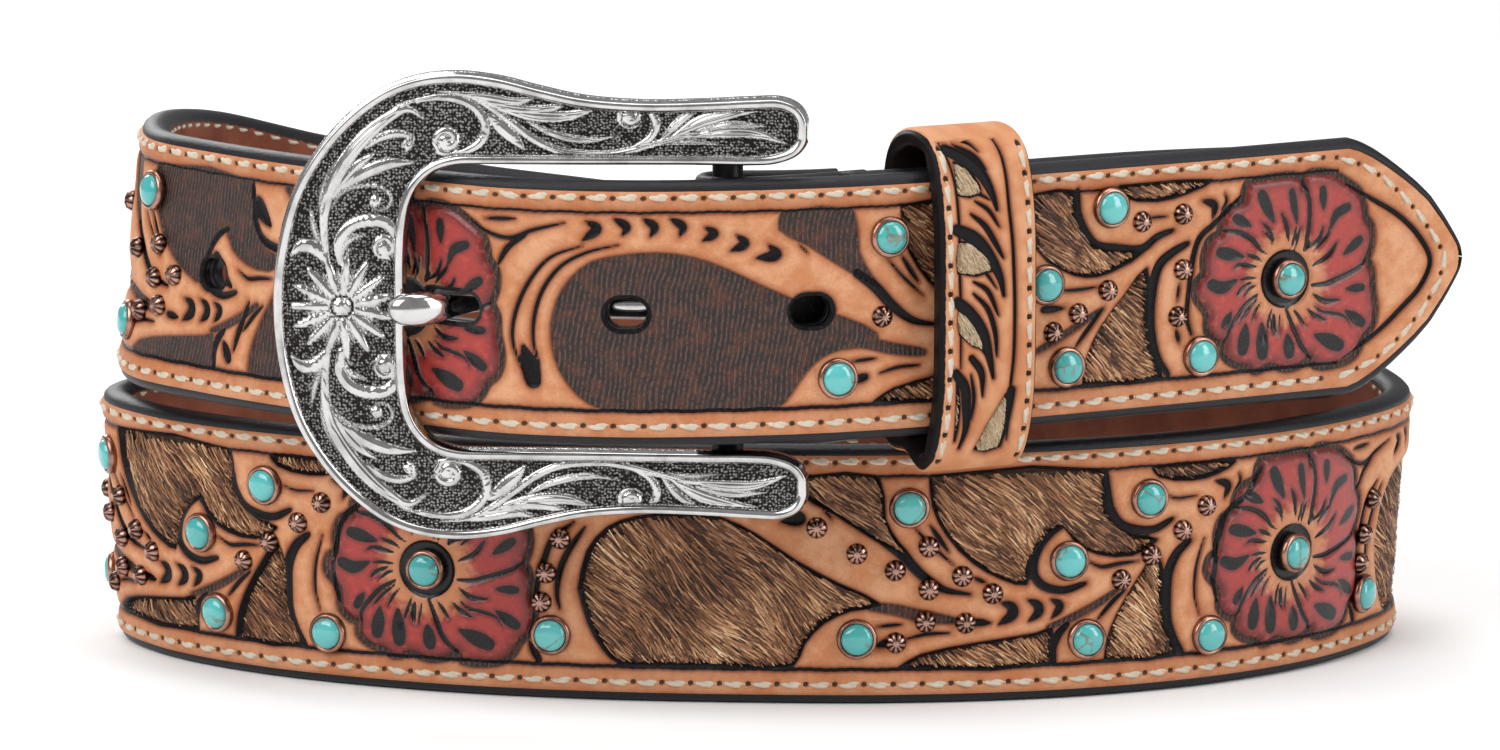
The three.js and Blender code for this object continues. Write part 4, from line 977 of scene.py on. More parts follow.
thread = thread_finish()
stitch_s, stitch_t, stitch_turn = stitch_rows()
seen = ((stitch_s > LOWER_FROM) & (stitch_s < LOWER_TO)) | (stitch_s > UPPER_FROM)
stitch_pieces = []
for name, chosen, rings, sides in (("stitches_front", seen, 6, 5), ("stitches_back", ~seen, 4, 4)):
    shape, faces = stitch_shape(rings, sides)
    wobble = random.normal(0, 0.06, chosen.sum())
    points = set_along(shape, stitch_s[chosen], stitch_t[chosen], FACE - 0.1,
                       stitch_turn[chosen] + wobble)
    stitch_pieces.append(add_piece(name, points, repeat_faces(faces, chosen.sum(), len(shape)), thread))
shape, faces = stitch_shape(5, 4)
inner = np.unique(np.round(stitch_s[stitch_t == LOW_STITCHES], 3)) + STITCH_PITCH / 2
inside_out = shape * [1, 0.8, -0.8]
points = np.concatenate([set_along(inside_out, inner, t, CORE_INNER + 0.12) for t in
                         (LOW_STITCHES, HIGH_STITCHES)])
stitch_pieces.append(add_piece("stitches_inside", points,
                               repeat_faces(faces[:, ::-1], 2 * len(inner), len(shape)), thread))

# %% [markdown]
# Turquoise stones sit in copper cups where the leaves begin, and small fluted rivets
# follow their stems. Each is one profile turned round, as on a lathe, then copied.

# %% Stones, cups and rivets
STONES = [(18.7, 9.6), (62.8, 9.8), (70.2, 29), (93.3, 20.5), (96, 8.8), (105.5, 28.9),
          (115.7, 7.8), (131.3, 18.3)]
RIVETS = [(20.1, 23.8), (18, 18.7), (17.3, 14.4), (57.1, 26.1), (62.8, 22.3), (68.2, 19.8),
          (73, 16.9), (73, 23.2), (77.8, 18.8), (82.2, 16.1), (68.3, 9.2), (72.5, 12.2),
          (78.3, 11.9), (101.3, 17.2), (106, 20.5), (111, 23.8), (114.9, 27.1)]
UPPER_STONES = [(851.4, 9.5), (857.4, 29.5), (975.5, 9.3), (983.2, 29.2), (1008.3, 20.6),
                (1011.8, 8.4), (1019.2, 31), (1034.6, 8.2), (1050, 18.3)]
UPPER_RIVETS = [(852.9, 20.5), (860.2, 21.9), (859.5, 16.9), (864.5, 17.8), (856.2, 11.7),
                (861.2, 13), (982.1, 17.8), (1009.6, 13.6), (1013.8, 16), (1018.8, 19),
                (1024.5, 28.6), (1031.5, 29.2), (1031.5, 21.1), (1030.6, 14.3)]
STUDS_FROM, STUDS_TO = 118, 846
CUP = [(0.01, 0.05), (2.95, 0.05), (3.0, 0.6), (2.88, 1.0), (2.6, 1.2), (2.4, 1.15), (2.28, 0.9),
       (0.01, 0.85)]
STONE = [(0.01, 0.8), (2.28, 0.8), (2.3, 1.05), (2.2, 1.35), (1.95, 1.62), (1.5, 1.84), (0.9, 1.97),
         (0.01, 2.02)]


def turned(profile, sides, flutes=0, depth=0.0):
    """Points and faces of a profile of radius and height turned round, with flutes if any."""
    profile = np.array(profile)
    turn = np.linspace(0, 2 * np.pi, sides, endpoint=False)
    reach = profile[:, 0] / profile[:, 0].max()
    wave = np.cos(turn * flutes)[None] * (np.sin(np.pi * np.clip(reach, 0, 1)) * depth)[:, None]
    r = profile[:, :1] * (1 + 0 * turn)
    z = profile[:, 1:] + (wave if flutes else 0 * turn)
    points = np.stack([r * np.cos(turn), r * np.sin(turn), z], -1).reshape(-1, 3)
    shade = 0.5 + 0.5 * np.cos(turn * flutes)[None] * (reach > 0.25)[:, None] * (flutes > 0)
    return points, tube_faces(len(profile), sides), shade.ravel()


def spots(rows, upper):
    """Places of a repeat's spots along the whole strap."""
    placed = [(s + u * length / REPEAT, t) for s, length in REPEATS for u, t in rows]
    return np.array([p for p in placed if STUDS_FROM < p[0] < STUDS_TO] + upper)


def set_spots(name, shape, faces, shade, places, material):
    turn = random.uniform(0, 2 * np.pi, len(places))
    points = set_along(shape, places[:, 0], places[:, 1], FACE - 0.28, turn)
    all_faces = [repeat_faces(f, len(places), len(shape)) for f in faces]
    marks = {"spot": np.repeat(random.random(len(places)), len(shape)),
             "flute": np.tile(shade, len(places))}
    return add_piece(name, points, all_faces, material, marks)


def turquoise_finish():
    """Blue-green stone with thin brown veins and a polish."""
    material, tree, shader = new_material("turquoise_stone")
    place = object_place(tree)
    bend = node(tree, "ShaderNodeVectorMath", {"operation": "ADD"})
    tree.links.new(place, bend.inputs[0])
    warp = node(tree, "ShaderNodeVectorMath", {"operation": "SCALE"}, Scale=0.0016)
    tree.links.new(noise(tree, place, 420, 3, 0.6, "Color"), warp.inputs[0])
    tree.links.new(warp.outputs[0], bend.inputs[1])
    cracks = node(tree, "ShaderNodeTexVoronoi", {"feature": "DISTANCE_TO_EDGE"},
                  Vector=bend.outputs[0], Scale=230.0).outputs["Distance"]
    some = noise(tree, place, 190, 2)
    tone = sums(tree, "MULTIPLY", mark(tree, "spot"), 0.6)
    tone = sums(tree, "ADD", tone, sums(tree, "MULTIPLY", noise(tree, place, 350, 4), 0.5))
    colour = mix(tree, ramp(tree, tone, 0.2, 0.85), (0.05, 0.36, 0.35), (0.10, 0.47, 0.46))
    vein = sums(tree, "MULTIPLY", ramp(tree, cracks, 0.045, 0.012), ramp(tree, some, 0.48, 0.6))
    colour = mix(tree, sums(tree, "MULTIPLY", vein, 0.75), colour, (0.17, 0.13, 0.07))
    finish_shader(tree, shader, colour, 0.14, None, Specular_IOR_Level=0.6, Coat_Weight=0.5,
                  Coat_Roughness=0.05)
    return material


def metal_finish(name, dark, light, roughness):
    """Aged metal, dark in its hollows and bright where it has been rubbed."""
    material, tree, shader = new_material(name)
    place = object_place(tree)
    patches = noise(tree, place, 260, 4, 0.6)
    worn = sums(tree, "MULTIPLY", ramp(tree, patches, 0.3, 0.65, 0.45, 1.0), mark(tree, "flute"))
    colour = mix(tree, ramp(tree, worn, 0.12, 0.62), dark, light)
    finish_shader(tree, shader, colour, roughness, bump(tree, patches, 0.2, 0.05), Metallic=1.0)
    return material


copper = metal_finish("copper_cups", (0.10, 0.045, 0.032), (0.50, 0.27, 0.20), 0.27)
rivet_metal = metal_finish("dark_rivets", (0.03, 0.016, 0.013), (0.42, 0.24, 0.19), 0.27)
stones = spots(STONES, UPPER_STONES)
rivets = spots(RIVETS, UPPER_RIVETS)
RIVET = [(1.56, 0.0), (1.56, 0.5), (1.2, 1.08), (0.45, 1.38)]
studs = [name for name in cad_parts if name.startswith("turquoise_stud")]
cups = set_spots("copper_cups", *turned(CUP, 32), stones, copper)
turquoise = set_spots("turquoise_stones", *turned(STONE, 24), stones, turquoise_finish())
rivet_piece = set_spots("fluted_rivets", *turned(RIVET, 18, 9, 0.2), rivets, rivet_metal)
print(len(stones), "stones", len(rivets), "rivets")
hand_over(cups, "turquoise")
hand_over(turquoise, "turquoise", *studs)
hand_over(rivet_piece, "turquoise")
for piece in stitch_pieces:
    hand_over(piece, "lining_leather")

# %% [markdown]
# The buckle is cast silver: a band bent to a horseshoe, with polished rims, a stippled
# ground darkened with age, and scrolls and leaves that rise from it. The band's grid runs
# from one arm's end to the other, and the relief is drawn once and mirrored below.

# %% Chart of the buckle's upper half, from the middle of its opening
# Columns: outer edge x, y and inner edge x, y at the same place along the band.
FRAME_EDGES = [
    (9.0, 25.4, 9.0, 25.4), (8.95, 27.1, 8.85, 23.9), (7.8, 29.1, 7.4, 22.0), (5.2, 30.3, 4.4, 20.8),
    (1, 30.3, 0.5, 20.5), (-4.7, 30.0, -5, 20.5), (-14.7, 29.75, -15, 20.45), (-23, 30.35, -23, 20.4),
    (-29, 31.6, -29, 20.4), (-35.2, 33.1, -34, 20.4), (-41.3, 33.7, -38, 20.4),
    (-46.7, 33.1, -41, 20.3), (-51.7, 31.2, -43.8, 19.5), (-56.7, 27.5, -46, 17.7),
    (-60.9, 22.8, -47.4, 15.2), (-64.5, 16.6, -48.1, 11.6), (-66.7, 8.8, -48.4, 6.6),
    (-67.5, 0, -48.4, 0),
]
# Columns: kind of taper, width, points. Ropes have a chased middle.
SCROLLS = [
    ("leaf", 2.5, [(-59.8, 12.5), (-59.2, 16.5), (-57.5, 20), (-54.5, 24), (-51, 27), (-48, 28.4),
                   (-45.4, 26.9)]),
    ("rope", 1.7, [(-59.3, 4), (-59.6, 7), (-60, 10.5), (-59.9, 14), (-58.9, 18), (-57.1, 21.2),
                   (-54.6, 24), (-51.6, 26.6)]),
    ("leaf", 1.4, [(-50.5, 27.9), (-48.5, 29), (-46.9, 29.8)]),
    ("leaf", 1.3, [(-60.2, 8.2), (-61.4, 11.2), (-62, 14.7)]),
    ("leaf", 1.1, [(-60.6, 12.2), (-60.4, 16), (-59.4, 19), (-57.9, 21.3)]),
    ("leaf", 2.3, [(-59.6, 6.4), (-61.4, 8.4), (-63.2, 8.7), (-64.9, 7.2)]),
    ("leaf", 1.0, [(-60.3, 7.6), (-61.3, 9.2), (-61.8, 10)]),
    ("leaf", 1.9, [(-58.7, 15.6), (-57, 18.3), (-54.8, 20.6), (-52.5, 22.1)]),
    ("leaf", 2.3, [(-58, 16.8), (-54.5, 19.1), (-51, 20.5), (-46.9, 20.8)]),
    ("band", 1.0, [(-58.9, 14.2), (-57.4, 16.3), (-54.5, 17.4), (-51.8, 17.2), (-50.4, 15.8),
                   (-50.8, 14.4), (-52.2, 13.9), (-53.4, 14.8)]),
    ("leaf", 1.7, [(-54.1, 22.7), (-51.9, 24.3), (-49.2, 24.9), (-47.3, 24.2), (-47.8, 22.8)]),
    ("band", 2.1, [(-57.6, 6.4), (-57.9, 9.2), (-56.3, 11.5), (-53.5, 12.4), (-50.9, 11.9),
                   (-49.7, 10.2), (-50.2, 8.4), (-51.4, 7.9)]),
    ("leaf", 1.4, [(-57.8, 7.4), (-56.4, 9.6), (-53.8, 10.5)]),
    ("leaf", 1.0, [(-57.4, 6.8), (-56.3, 8.2), (-55.1, 8.3)]),
    ("band", 1.6, [(-46.7, 29.6), (-44, 30.1), (-40.6, 29.8), (-38.1, 28.4), (-36.9, 26.2),
                   (-37.4, 24), (-39.4, 22.5), (-41.6, 21.9), (-43.6, 22.3)]),
    ("leaf", 1.9, [(-41, 30.7), (-36.5, 30.1), (-32.5, 29.6), (-28.9, 30.6)]),
    ("leaf", 2.0, [(-37, 29.6), (-32, 28.3), (-28, 28.6), (-24.1, 30)]),
    ("leaf", 2.2, [(-35, 28.6), (-30, 27.6), (-25, 27.6), (-20.2, 29.2)]),
    ("rope", 1.6, [(-44, 31), (-39.5, 30.5), (-36, 28.6), (-33.2, 26.6), (-30.3, 24.4), (-27, 22.8),
                   (-23.3, 22.2), (-19.5, 22.2), (-15.8, 22.9), (-12, 23.9), (-8, 24.9), (-3, 25.3)]),
    ("leaf", 1.6, [(-31, 26.8), (-28.2, 25.4), (-24.8, 24.4), (-21, 24.2), (-18.4, 24.8)]),
    ("leaf", 0.9, [(-19.2, 24.1), (-18, 24.8), (-18.4, 25.9)]),
    ("leaf", 2.4, [(-36.4, 27.6), (-34.6, 25.9), (-32.7, 24.2), (-31.4, 22.7)]),
    ("band", 1.5, [(-17.6, 29), (-15.6, 29.5), (-13.5, 28.4), (-12.6, 26.4), (-13.5, 24.5),
                   (-15.6, 23.2)]),
    ("leaf", 1.7, [(-11.8, 24.4), (-9.3, 27), (-5.9, 29.3)]),
    ("leaf", 2.2, [(-10.4, 24.6), (-6.4, 26.9), (-2.4, 28), (1.8, 28.5)]),
    ("leaf", 1.6, [(-7, 25.6), (-2, 26.5), (3.1, 26.3)]),
    ("leaf", 2.0, [(-8, 24.7), (-3, 25.3), (1.5, 25.2), (6, 23.8)]),
    ("leaf", 1.2, [(-12, 23.6), (-7.6, 24), (-3.2, 23.6)]),
]
# Round heads of the scrolls. Columns: x, y, radius.
HEADS = [(-42.4, 23.9, 2.1), (-51.3, 8.6, 1.9), (-16.4, 27.6, 1.95), (-48, 23.2, 0.95),
         (-52.6, 15.2, 0.9)]
DAISY = (-57.5, 0.0)
DAISY_PETALS = 15
TAPERS["leaf"] = lambda h: 0.08 + 0.92 * np.sin(np.pi * np.clip(h * 0.86 + 0.10, 0, 1)) ** 0.8
TAPERS["band"] = lambda h: 0.55 + 0.45 * np.sin(np.pi * np.clip(h * 0.8 + 0.1, 0, 1))
TAPERS["rope"] = lambda h: 0.25 + 0.75 * np.sin(np.pi * np.clip(h, 0, 1)) ** 0.6

# %% The buckle's frame
FRAME_CENTRE_Z = 60.5
FRAME_TURN = -0.055
FRAME_BACK = 3.4
FRAME_PLACE_Y = -67.3
RIM = 1.45


def on_frame(x, y, height):
    """A place on the frame: x across and y up from its middle, height in front of its plate."""
    x, y, height = np.broadcast_arrays(x, y, height)
    return np.stack([x * math.cos(FRAME_TURN) + height * math.sin(FRAME_TURN),
                     x * math.sin(FRAME_TURN) - height * math.cos(FRAME_TURN) + FRAME_PLACE_Y,
                     FRAME_CENTRE_Z + y], -1) + SHIFT


def dome(x, y, shapes, kind_height):
    """Height of relief made of tapered strips, each a rounded ridge with a chased line."""
    height = np.zeros(x.shape)
    for kind, width, points in shapes:
        near = ((x > min(p[0] for p in points) - 2) & (x < max(p[0] for p in points) + 2)
                & (y > min(p[1] for p in points) - 2) & (y < max(p[1] for p in points) + 2))
        inside = np.maximum(-from_strip(x[near], y[near], points, width, kind), 0)
        ridge = 1 - np.exp(-inside / 0.28) + 0.35 * inside
        vein = np.exp(-((inside - width * 0.36) / 0.11) ** 2)
        lift = kind_height[kind] * (ridge - 0.28 * vein)
        if kind == "rope":
            chased = np.sin((x[near] + y[near]) * 11) * np.exp(-((inside - width * 0.4) / 0.25) ** 2)
            lift += 0.05 * chased
        height[near] = np.maximum(height[near], lift * (inside > 0))
    return height


def daisy(x, y):
    """Height of the daisy: long pointed petals, shorter ones under them, a round heart."""
    dx, dy = x - DAISY[0], y - DAISY[1]
    reach, turn = np.hypot(dx, dy), np.arctan2(dy, dx)
    height = np.zeros(x.shape)
    for lift, length, shift in ((0.42, 6.0, 0.5), (0.75, 7.7, 0.0)):
        spoke = (turn / (2 * np.pi) * DAISY_PETALS + shift) % 1 - 0.5
        width = 0.47 * np.sin(np.pi * np.clip((reach + 2.0) / (length + 2.0), 0, 1)) ** 0.8
        side = 1 - np.abs(spoke) / np.maximum(width, 1e-3)
        petal = lift * np.clip(side * 1.15 - 0.15, 0, 1) ** 0.5 * (reach < length)
        petal *= 1 - 0.4 * np.exp(-(spoke / 0.05) ** 2)
        height = np.maximum(height, petal)
    pips = 0.12 * np.cos(turn * 7) * step_up(reach, 0.35, 0.6)
    heart = 0.6 * np.sqrt(np.clip(1 - (reach / 1.4) ** 2, 0, 1)) + 0.3 + pips
    ring = step_up(reach, 1.4, 1.9)
    return np.where(reach < 1.3, heart, height * ring)


def frame_relief(x, y, edge):
    """Height of the frame's front and how polished each place is."""
    across = np.minimum(edge / RIM, 3)
    rim = np.sqrt(np.clip(1 - (across - 0.55) ** 2 / 0.4, 0, 1)) * 0.95
    slope = -1.6 * (1 - step_up(across, -0.02, 0.28))
    up = np.abs(y)
    heights = {"leaf": 0.42, "band": 0.5, "rope": 0.46}
    relief = dome(x, up, SCROLLS, heights)
    for cx, cy, radius in HEADS:
        reach = np.hypot(x - cx, up - cy)
        ball = 0.34 + 0.36 * np.sqrt(np.clip(1 - (reach / radius) ** 2, 0, 1))
        turns = reach / radius * 1.7 - np.arctan2(up - cy, x - cx) / (2 * np.pi)
        coil = ball - 0.42 * np.exp(-((turns % 1 - 0.5) / 0.13) ** 2) * (reach > 0.25 * radius)
        relief = np.maximum(relief, coil * step_up(radius - reach, 0, 0.15))
    relief = np.maximum(relief, daisy(x, y))
    relief *= step_up(across, 1.0, 1.35)
    polish = np.maximum(step_up(relief, 0.12, 0.5), step_up(rim, 0.3, 0.7))
    return np.maximum(rim, relief) + slope, polish


FRAME_ROWS, FRAME_COLUMNS = 640, 104


def frame_piece(material):
    """The frame's band as one closed grid, its front in relief and its back plain."""
    half = np.array(FRAME_EDGES, float)
    whole = np.concatenate([half, half[-2::-1] * [1, -1, 1, -1]])
    curve = smooth_curve(whole, 6)
    middle = (curve[:, :2] + curve[:, 2:]) / 2
    run = np.concatenate([[0], np.cumsum(np.hypot(*np.diff(middle, axis=0).T))])
    at = np.linspace(0.002, 0.998, FRAME_ROWS)
    at = (at - 0.5 * np.sin(2 * np.pi * at) / (2 * np.pi)) * run[-1]
    edges = np.stack([np.interp(at, run, curve[:, k]) for k in range(4)], 1)
    v = np.linspace(0, 1, FRAME_COLUMNS)[None]
    x = edges[:, :1] * (1 - v) + edges[:, 2:3] * v
    y = edges[:, 1:2] * (1 - v) + edges[:, 3:4] * v
    outline = np.concatenate([curve[:, :2], curve[::-1, 2:]])
    edge = np.maximum(-from_patch(x, y, [tuple(p) for p in outline], 1), 0)
    height, polish = frame_relief(x, y, edge)
    back = []
    for w, depth in ((1.0, 2.6), (0.94, FRAME_BACK), (0.06, FRAME_BACK), (0.0, 2.6)):
        back.append(on_frame(edges[:, 0] * (1 - w) + edges[:, 2] * w,
                             edges[:, 1] * (1 - w) + edges[:, 3] * w, -depth))
    points = np.concatenate([on_frame(x, y, height), np.stack(back, 1)], 1)
    polish = np.concatenate([polish, np.full((FRAME_ROWS, 4), 1.0)], 1)
    faces = tube_faces(FRAME_ROWS, FRAME_COLUMNS + 4)
    return add_piece("buckle_frame_silver", points.reshape(-1, 3), faces, material,
                     {"polish": polish.ravel()})


def silver_finish():
    """Polished silver on what stands up, a dark stippled ground where polish can't reach."""
    material, tree, shader = new_material("antiqued_silver")
    place = object_place(tree)
    polish = mark(tree, "polish")
    grit = node(tree, "ShaderNodeTexVoronoi", None, Vector=place, Scale=2300.0, Randomness=0.7)
    dots = ramp(tree, grit.outputs["Distance"], 0.62, 0.2)
    stain = noise(tree, place, 260, 4, 0.6)
    bright = mix(tree, ramp(tree, stain, 0.4, 0.7), (0.62, 0.61, 0.605), (0.42, 0.412, 0.405))
    ground = mix(tree, sums(tree, "MULTIPLY", dots, 0.62), (0.022, 0.019, 0.018), (0.62, 0.60, 0.58))
    shine = ramp(tree, sums(tree, "ADD", polish, sums(tree, "MULTIPLY", stain, 0.25)), 0.15, 0.95)
    colour = mix(tree, shine, ground, bright)
    rough = ramp(tree, shine, 0, 1, 0.36, 0.09)
    rough = sums(tree, "ADD", rough, ramp(tree, noise(tree, place, 900, 4), 0.45, 0.75, 0, 0.10))
    flat = sums(tree, "SUBTRACT", 1.0, shine)
    relief = sums(tree, "MULTIPLY", dots, flat)
    finish_shader(tree, shader, colour, rough, bump(tree, relief, 0.9, 0.25), Metallic=1.0)
    return material


silver = silver_finish()
buckle = hand_over(frame_piece(silver), "silver", "buckle_frame")

# %% [markdown]
# The bar that the strap's end is folded round stands behind the frame. It and its two lugs
# are a cylinder and two blocks with rounded edges.

# %% Bar and prong
BAR_X, BAR_Y, BAR_RADIUS = -2.5, -62.0, 2.2
LUG_REACH = 23.5


def finished(piece, material, bevel=0.0, segments=3):
    """Rounds a piece's edges, sets its material and puts its origin with the others."""
    bpy.ops.object.select_all(action="DESELECT")
    piece.select_set(True)
    bpy.context.view_layer.objects.active = piece
    if bevel:
        rounding = piece.modifiers.new("rounding", "BEVEL")
        rounding.width, rounding.segments = bevel * MM, segments
        bpy.ops.object.modifier_apply(modifier="rounding")
    bpy.ops.object.transform_apply(location=True, rotation=True, scale=True)
    bpy.ops.object.shade_smooth_by_angle(angle=math.radians(40))
    piece.data.materials.clear()
    piece.data.materials.append(material)
    return piece


def plain_silver():
    material, tree, shader = new_material("plain_silver")
    place = object_place(tree)
    stain = noise(tree, place, 260, 4, 0.6)
    colour = mix(tree, ramp(tree, stain, 0.4, 0.7), (0.64, 0.63, 0.62), (0.46, 0.45, 0.44))
    rough = ramp(tree, noise(tree, place, 900, 4), 0.4, 0.75, 0.08, 0.2)
    finish_shader(tree, shader, colour, rough, None, Metallic=1.0)
    return material


bare_silver = plain_silver()
# The bar and its lugs are painted near black: painted shade, as they sit in shadow behind the frame and the fold.
shadowed_bar_metal, _, shader = new_material("shadowed_bar_metal")
finish_shader(None, shader, (0.03, 0.028, 0.028), 0.4, None, Metallic=1.0)
middle = (np.array([BAR_X, BAR_Y, FRAME_CENTRE_Z]) + SHIFT) * MM
bpy.ops.mesh.primitive_cylinder_add(vertices=40, radius=BAR_RADIUS * MM, depth=49 * MM,
                                    location=middle)
bar = bpy.context.object
bar.name = "buckle_bar"
hand_over(finished(bar, shadowed_bar_metal, 0.4), "silver")
for name, side in (("buckle_lug_top", 1), ("buckle_lug_bottom", -1)):
    bpy.ops.mesh.primitive_cube_add(size=1, location=middle + [0, -0.0003, side * LUG_REACH * MM])
    lug = bpy.context.object
    lug.name = name
    lug.scale = (5.6 * MM, 5.0 * MM, 4.6 * MM)
    bpy.ops.object.transform_apply(location=True, rotation=True, scale=True)
    hand_over(finished(lug, shadowed_bar_metal, 0.9, 4), "silver")
# Columns: x, y, half height, half thickness.
PRONG = [
    (-4.6, -63.9, 1.85, 0.9), (-9, -64.5, 1.85, 1.0), (-16, -64.6, 1.8, 1.0), (-27, -63.2, 1.6, 1.0),
    (-34.5, -60.7, 1.3, 0.95), (-38.4, -61.4, 1.2, 0.95), (-41.3, -63.4, 1.55, 1.1),
    (-43.6, -65.4, 2.05, 1.4), (-45.8, -66.7, 2.45, 1.6), (-47.6, -67.2, 2.5, 1.7),
    (-49.2, -67.4, 2.1, 1.6), (-50.3, -67.4, 1.3, 1.1), (-50.8, -67.4, 0.15, 0.15),
]


def prong_piece(material):
    """The prong: a rounded bar swept along its plan, thick where it rests on the frame."""
    line = smooth_curve(PRONG, 8)
    ahead = unit(np.gradient(line[:, :2], axis=0))
    turn = np.linspace(0, 2 * np.pi, 28, endpoint=False)
    side, rise = np.cos(turn), np.sin(turn)
    plan = line[:, None, :2] + (ahead[:, ::-1] * [-1, 1])[:, None] * (line[:, 3:] * side)[..., None]
    z = FRAME_CENTRE_Z + line[:, 2:3] * np.sign(rise) * np.abs(rise) ** 0.8
    points = np.concatenate([plan, z[..., None]], 2) + SHIFT
    return add_piece("prong", points.reshape(-1, 3), tube_faces(len(line), 28), material)


prong = hand_over(prong_piece(bare_silver), "silver", "buckle_prong")
bpy.ops.mesh.primitive_torus_add(major_radius=3.45 * MM, minor_radius=0.95 * MM, major_segments=48,
                                 minor_segments=20, location=middle)
ring = bpy.context.object
ring.name = "prong_ring"
ring.scale = (1, 1, 1.9)
hand_over(finished(ring, bare_silver), "silver")

# %% [markdown]
# The strap's end goes round the bar and back to the strap. A thin wall follows that loop,
# with a slot for the prong cut out of it.

# %% Fold round the bar
FOLD_WALL, FOLD_RADIUS = 2.2, 3.6
FOLD = [
    (17, -57.2), (9, -61.6), (3, -64.4), (BAR_X, BAR_Y - FOLD_RADIUS),
    (BAR_X - 0.71 * FOLD_RADIUS, BAR_Y - 0.71 * FOLD_RADIUS), (BAR_X - FOLD_RADIUS, BAR_Y),
    (BAR_X - 0.71 * FOLD_RADIUS, BAR_Y + 0.71 * FOLD_RADIUS), (BAR_X, BAR_Y + FOLD_RADIUS),
    (4, -58.1), (9, -57.3), (13, -56),
]
# Columns: share of the half thickness, in from the top or bottom edge.
FOLD_EDGE = [(1, 1.6), (0.97, 0.8), (0.75, 0.25), (0.35, 0.0), (-0.35, 0.0), (-0.75, 0.25),
             (-0.97, 0.8), (-1, 1.6)]


def fold_piece(material):
    line = smooth_curve(FOLD, 8)
    ahead = unit(np.gradient(line, axis=0))
    side = ahead[:, ::-1] * [-1, 1]
    n = np.array([p[0] for p in FOLD_EDGE] + [-p[0] for p in FOLD_EDGE]) * FOLD_WALL / 2
    top = np.array([STRAP_WIDTH - p[1] for p in FOLD_EDGE] + [p[1] for p in FOLD_EDGE])
    plan = line[:, None] + side[:, None] * n[None, :, None]
    z = np.broadcast_to(41.2 + top[None], plan.shape[:2])
    points = np.concatenate([plan, z[..., None]], 2) + SHIFT
    across = np.broadcast_to(top[None], z.shape).ravel()
    marks = {"along": np.repeat(np.arange(len(line)) * 1.5, len(n)), "across": across,
             "lift": np.full(across.shape, -2.3), "rim": np.minimum(across, STRAP_WIDTH - across)}
    return add_piece("fold_round_bar", points.reshape(-1, 3), tube_faces(len(line), len(n)),
                     material, marks)


fold = fold_piece(lining)
bpy.ops.mesh.primitive_cube_add(size=1, location=middle - [0.0005, 0, 0])
cutter = bpy.context.object
cutter.scale = (12 * MM, 14 * MM, 7 * MM)
bpy.ops.object.transform_apply(location=True, rotation=True, scale=True)


def cut_away(piece, cutter):
    """Cuts one piece by another and deletes the cutter."""
    bpy.ops.object.select_all(action="DESELECT")
    bpy.context.view_layer.objects.active = piece
    cut = piece.modifiers.new("cut", "BOOLEAN")
    cut.operation, cut.solver, cut.object = "DIFFERENCE", "EXACT", cutter
    bpy.ops.object.modifier_apply(modifier="cut")
    bpy.data.objects.remove(cutter)


cut_away(fold, cutter)
hand_over(fold, "lining_leather")


def slot_cutters():
    """Blocks with round ends through the strap, one at each hole, as one piece."""
    turn = np.linspace(0, 2 * np.pi, 48, endpoint=False)
    radius = HOLE_HEIGHT / 2
    rows = []
    for s, length in HOLES:
        across = radius * np.sin(turn) + STRAP_WIDTH / 2
        along = radius * np.cos(turn) + np.sign(np.cos(turn)) * (length - HOLE_HEIGHT) / 2 + s
        rows += [on_strap(along, across, depth) for depth in (3.2, -3.2)]
    faces = [repeat_faces(f, len(HOLES), 96) for f in tube_faces(2, 48)]
    return add_piece("slot_cutters", np.concatenate(rows), faces, lining, smooth=False)


for piece in (core, tooled[-1]):
    cut_away(piece, slot_cutters())
    print(piece.name, "cut through at", len(HOLES), "holes:", len(piece.data.polygons), "faces")

# %% [markdown]
# The keeper is a loop of the same leather that holds the tip. Its section is a grid that
# closes both ways: round the loop, and across its width and thickness. Its front is carved
# with leaves and has small windows of pale hide.

# %% Chart of the keeper: across from its left edge, up from its bottom
KEEPER_WIDTH, KEEPER_BOTTOM, KEEPER_S, KEEPER_FRONT = 15.4, 36.0, 996.6, 7.4
KEEPER_WALL = 2.75
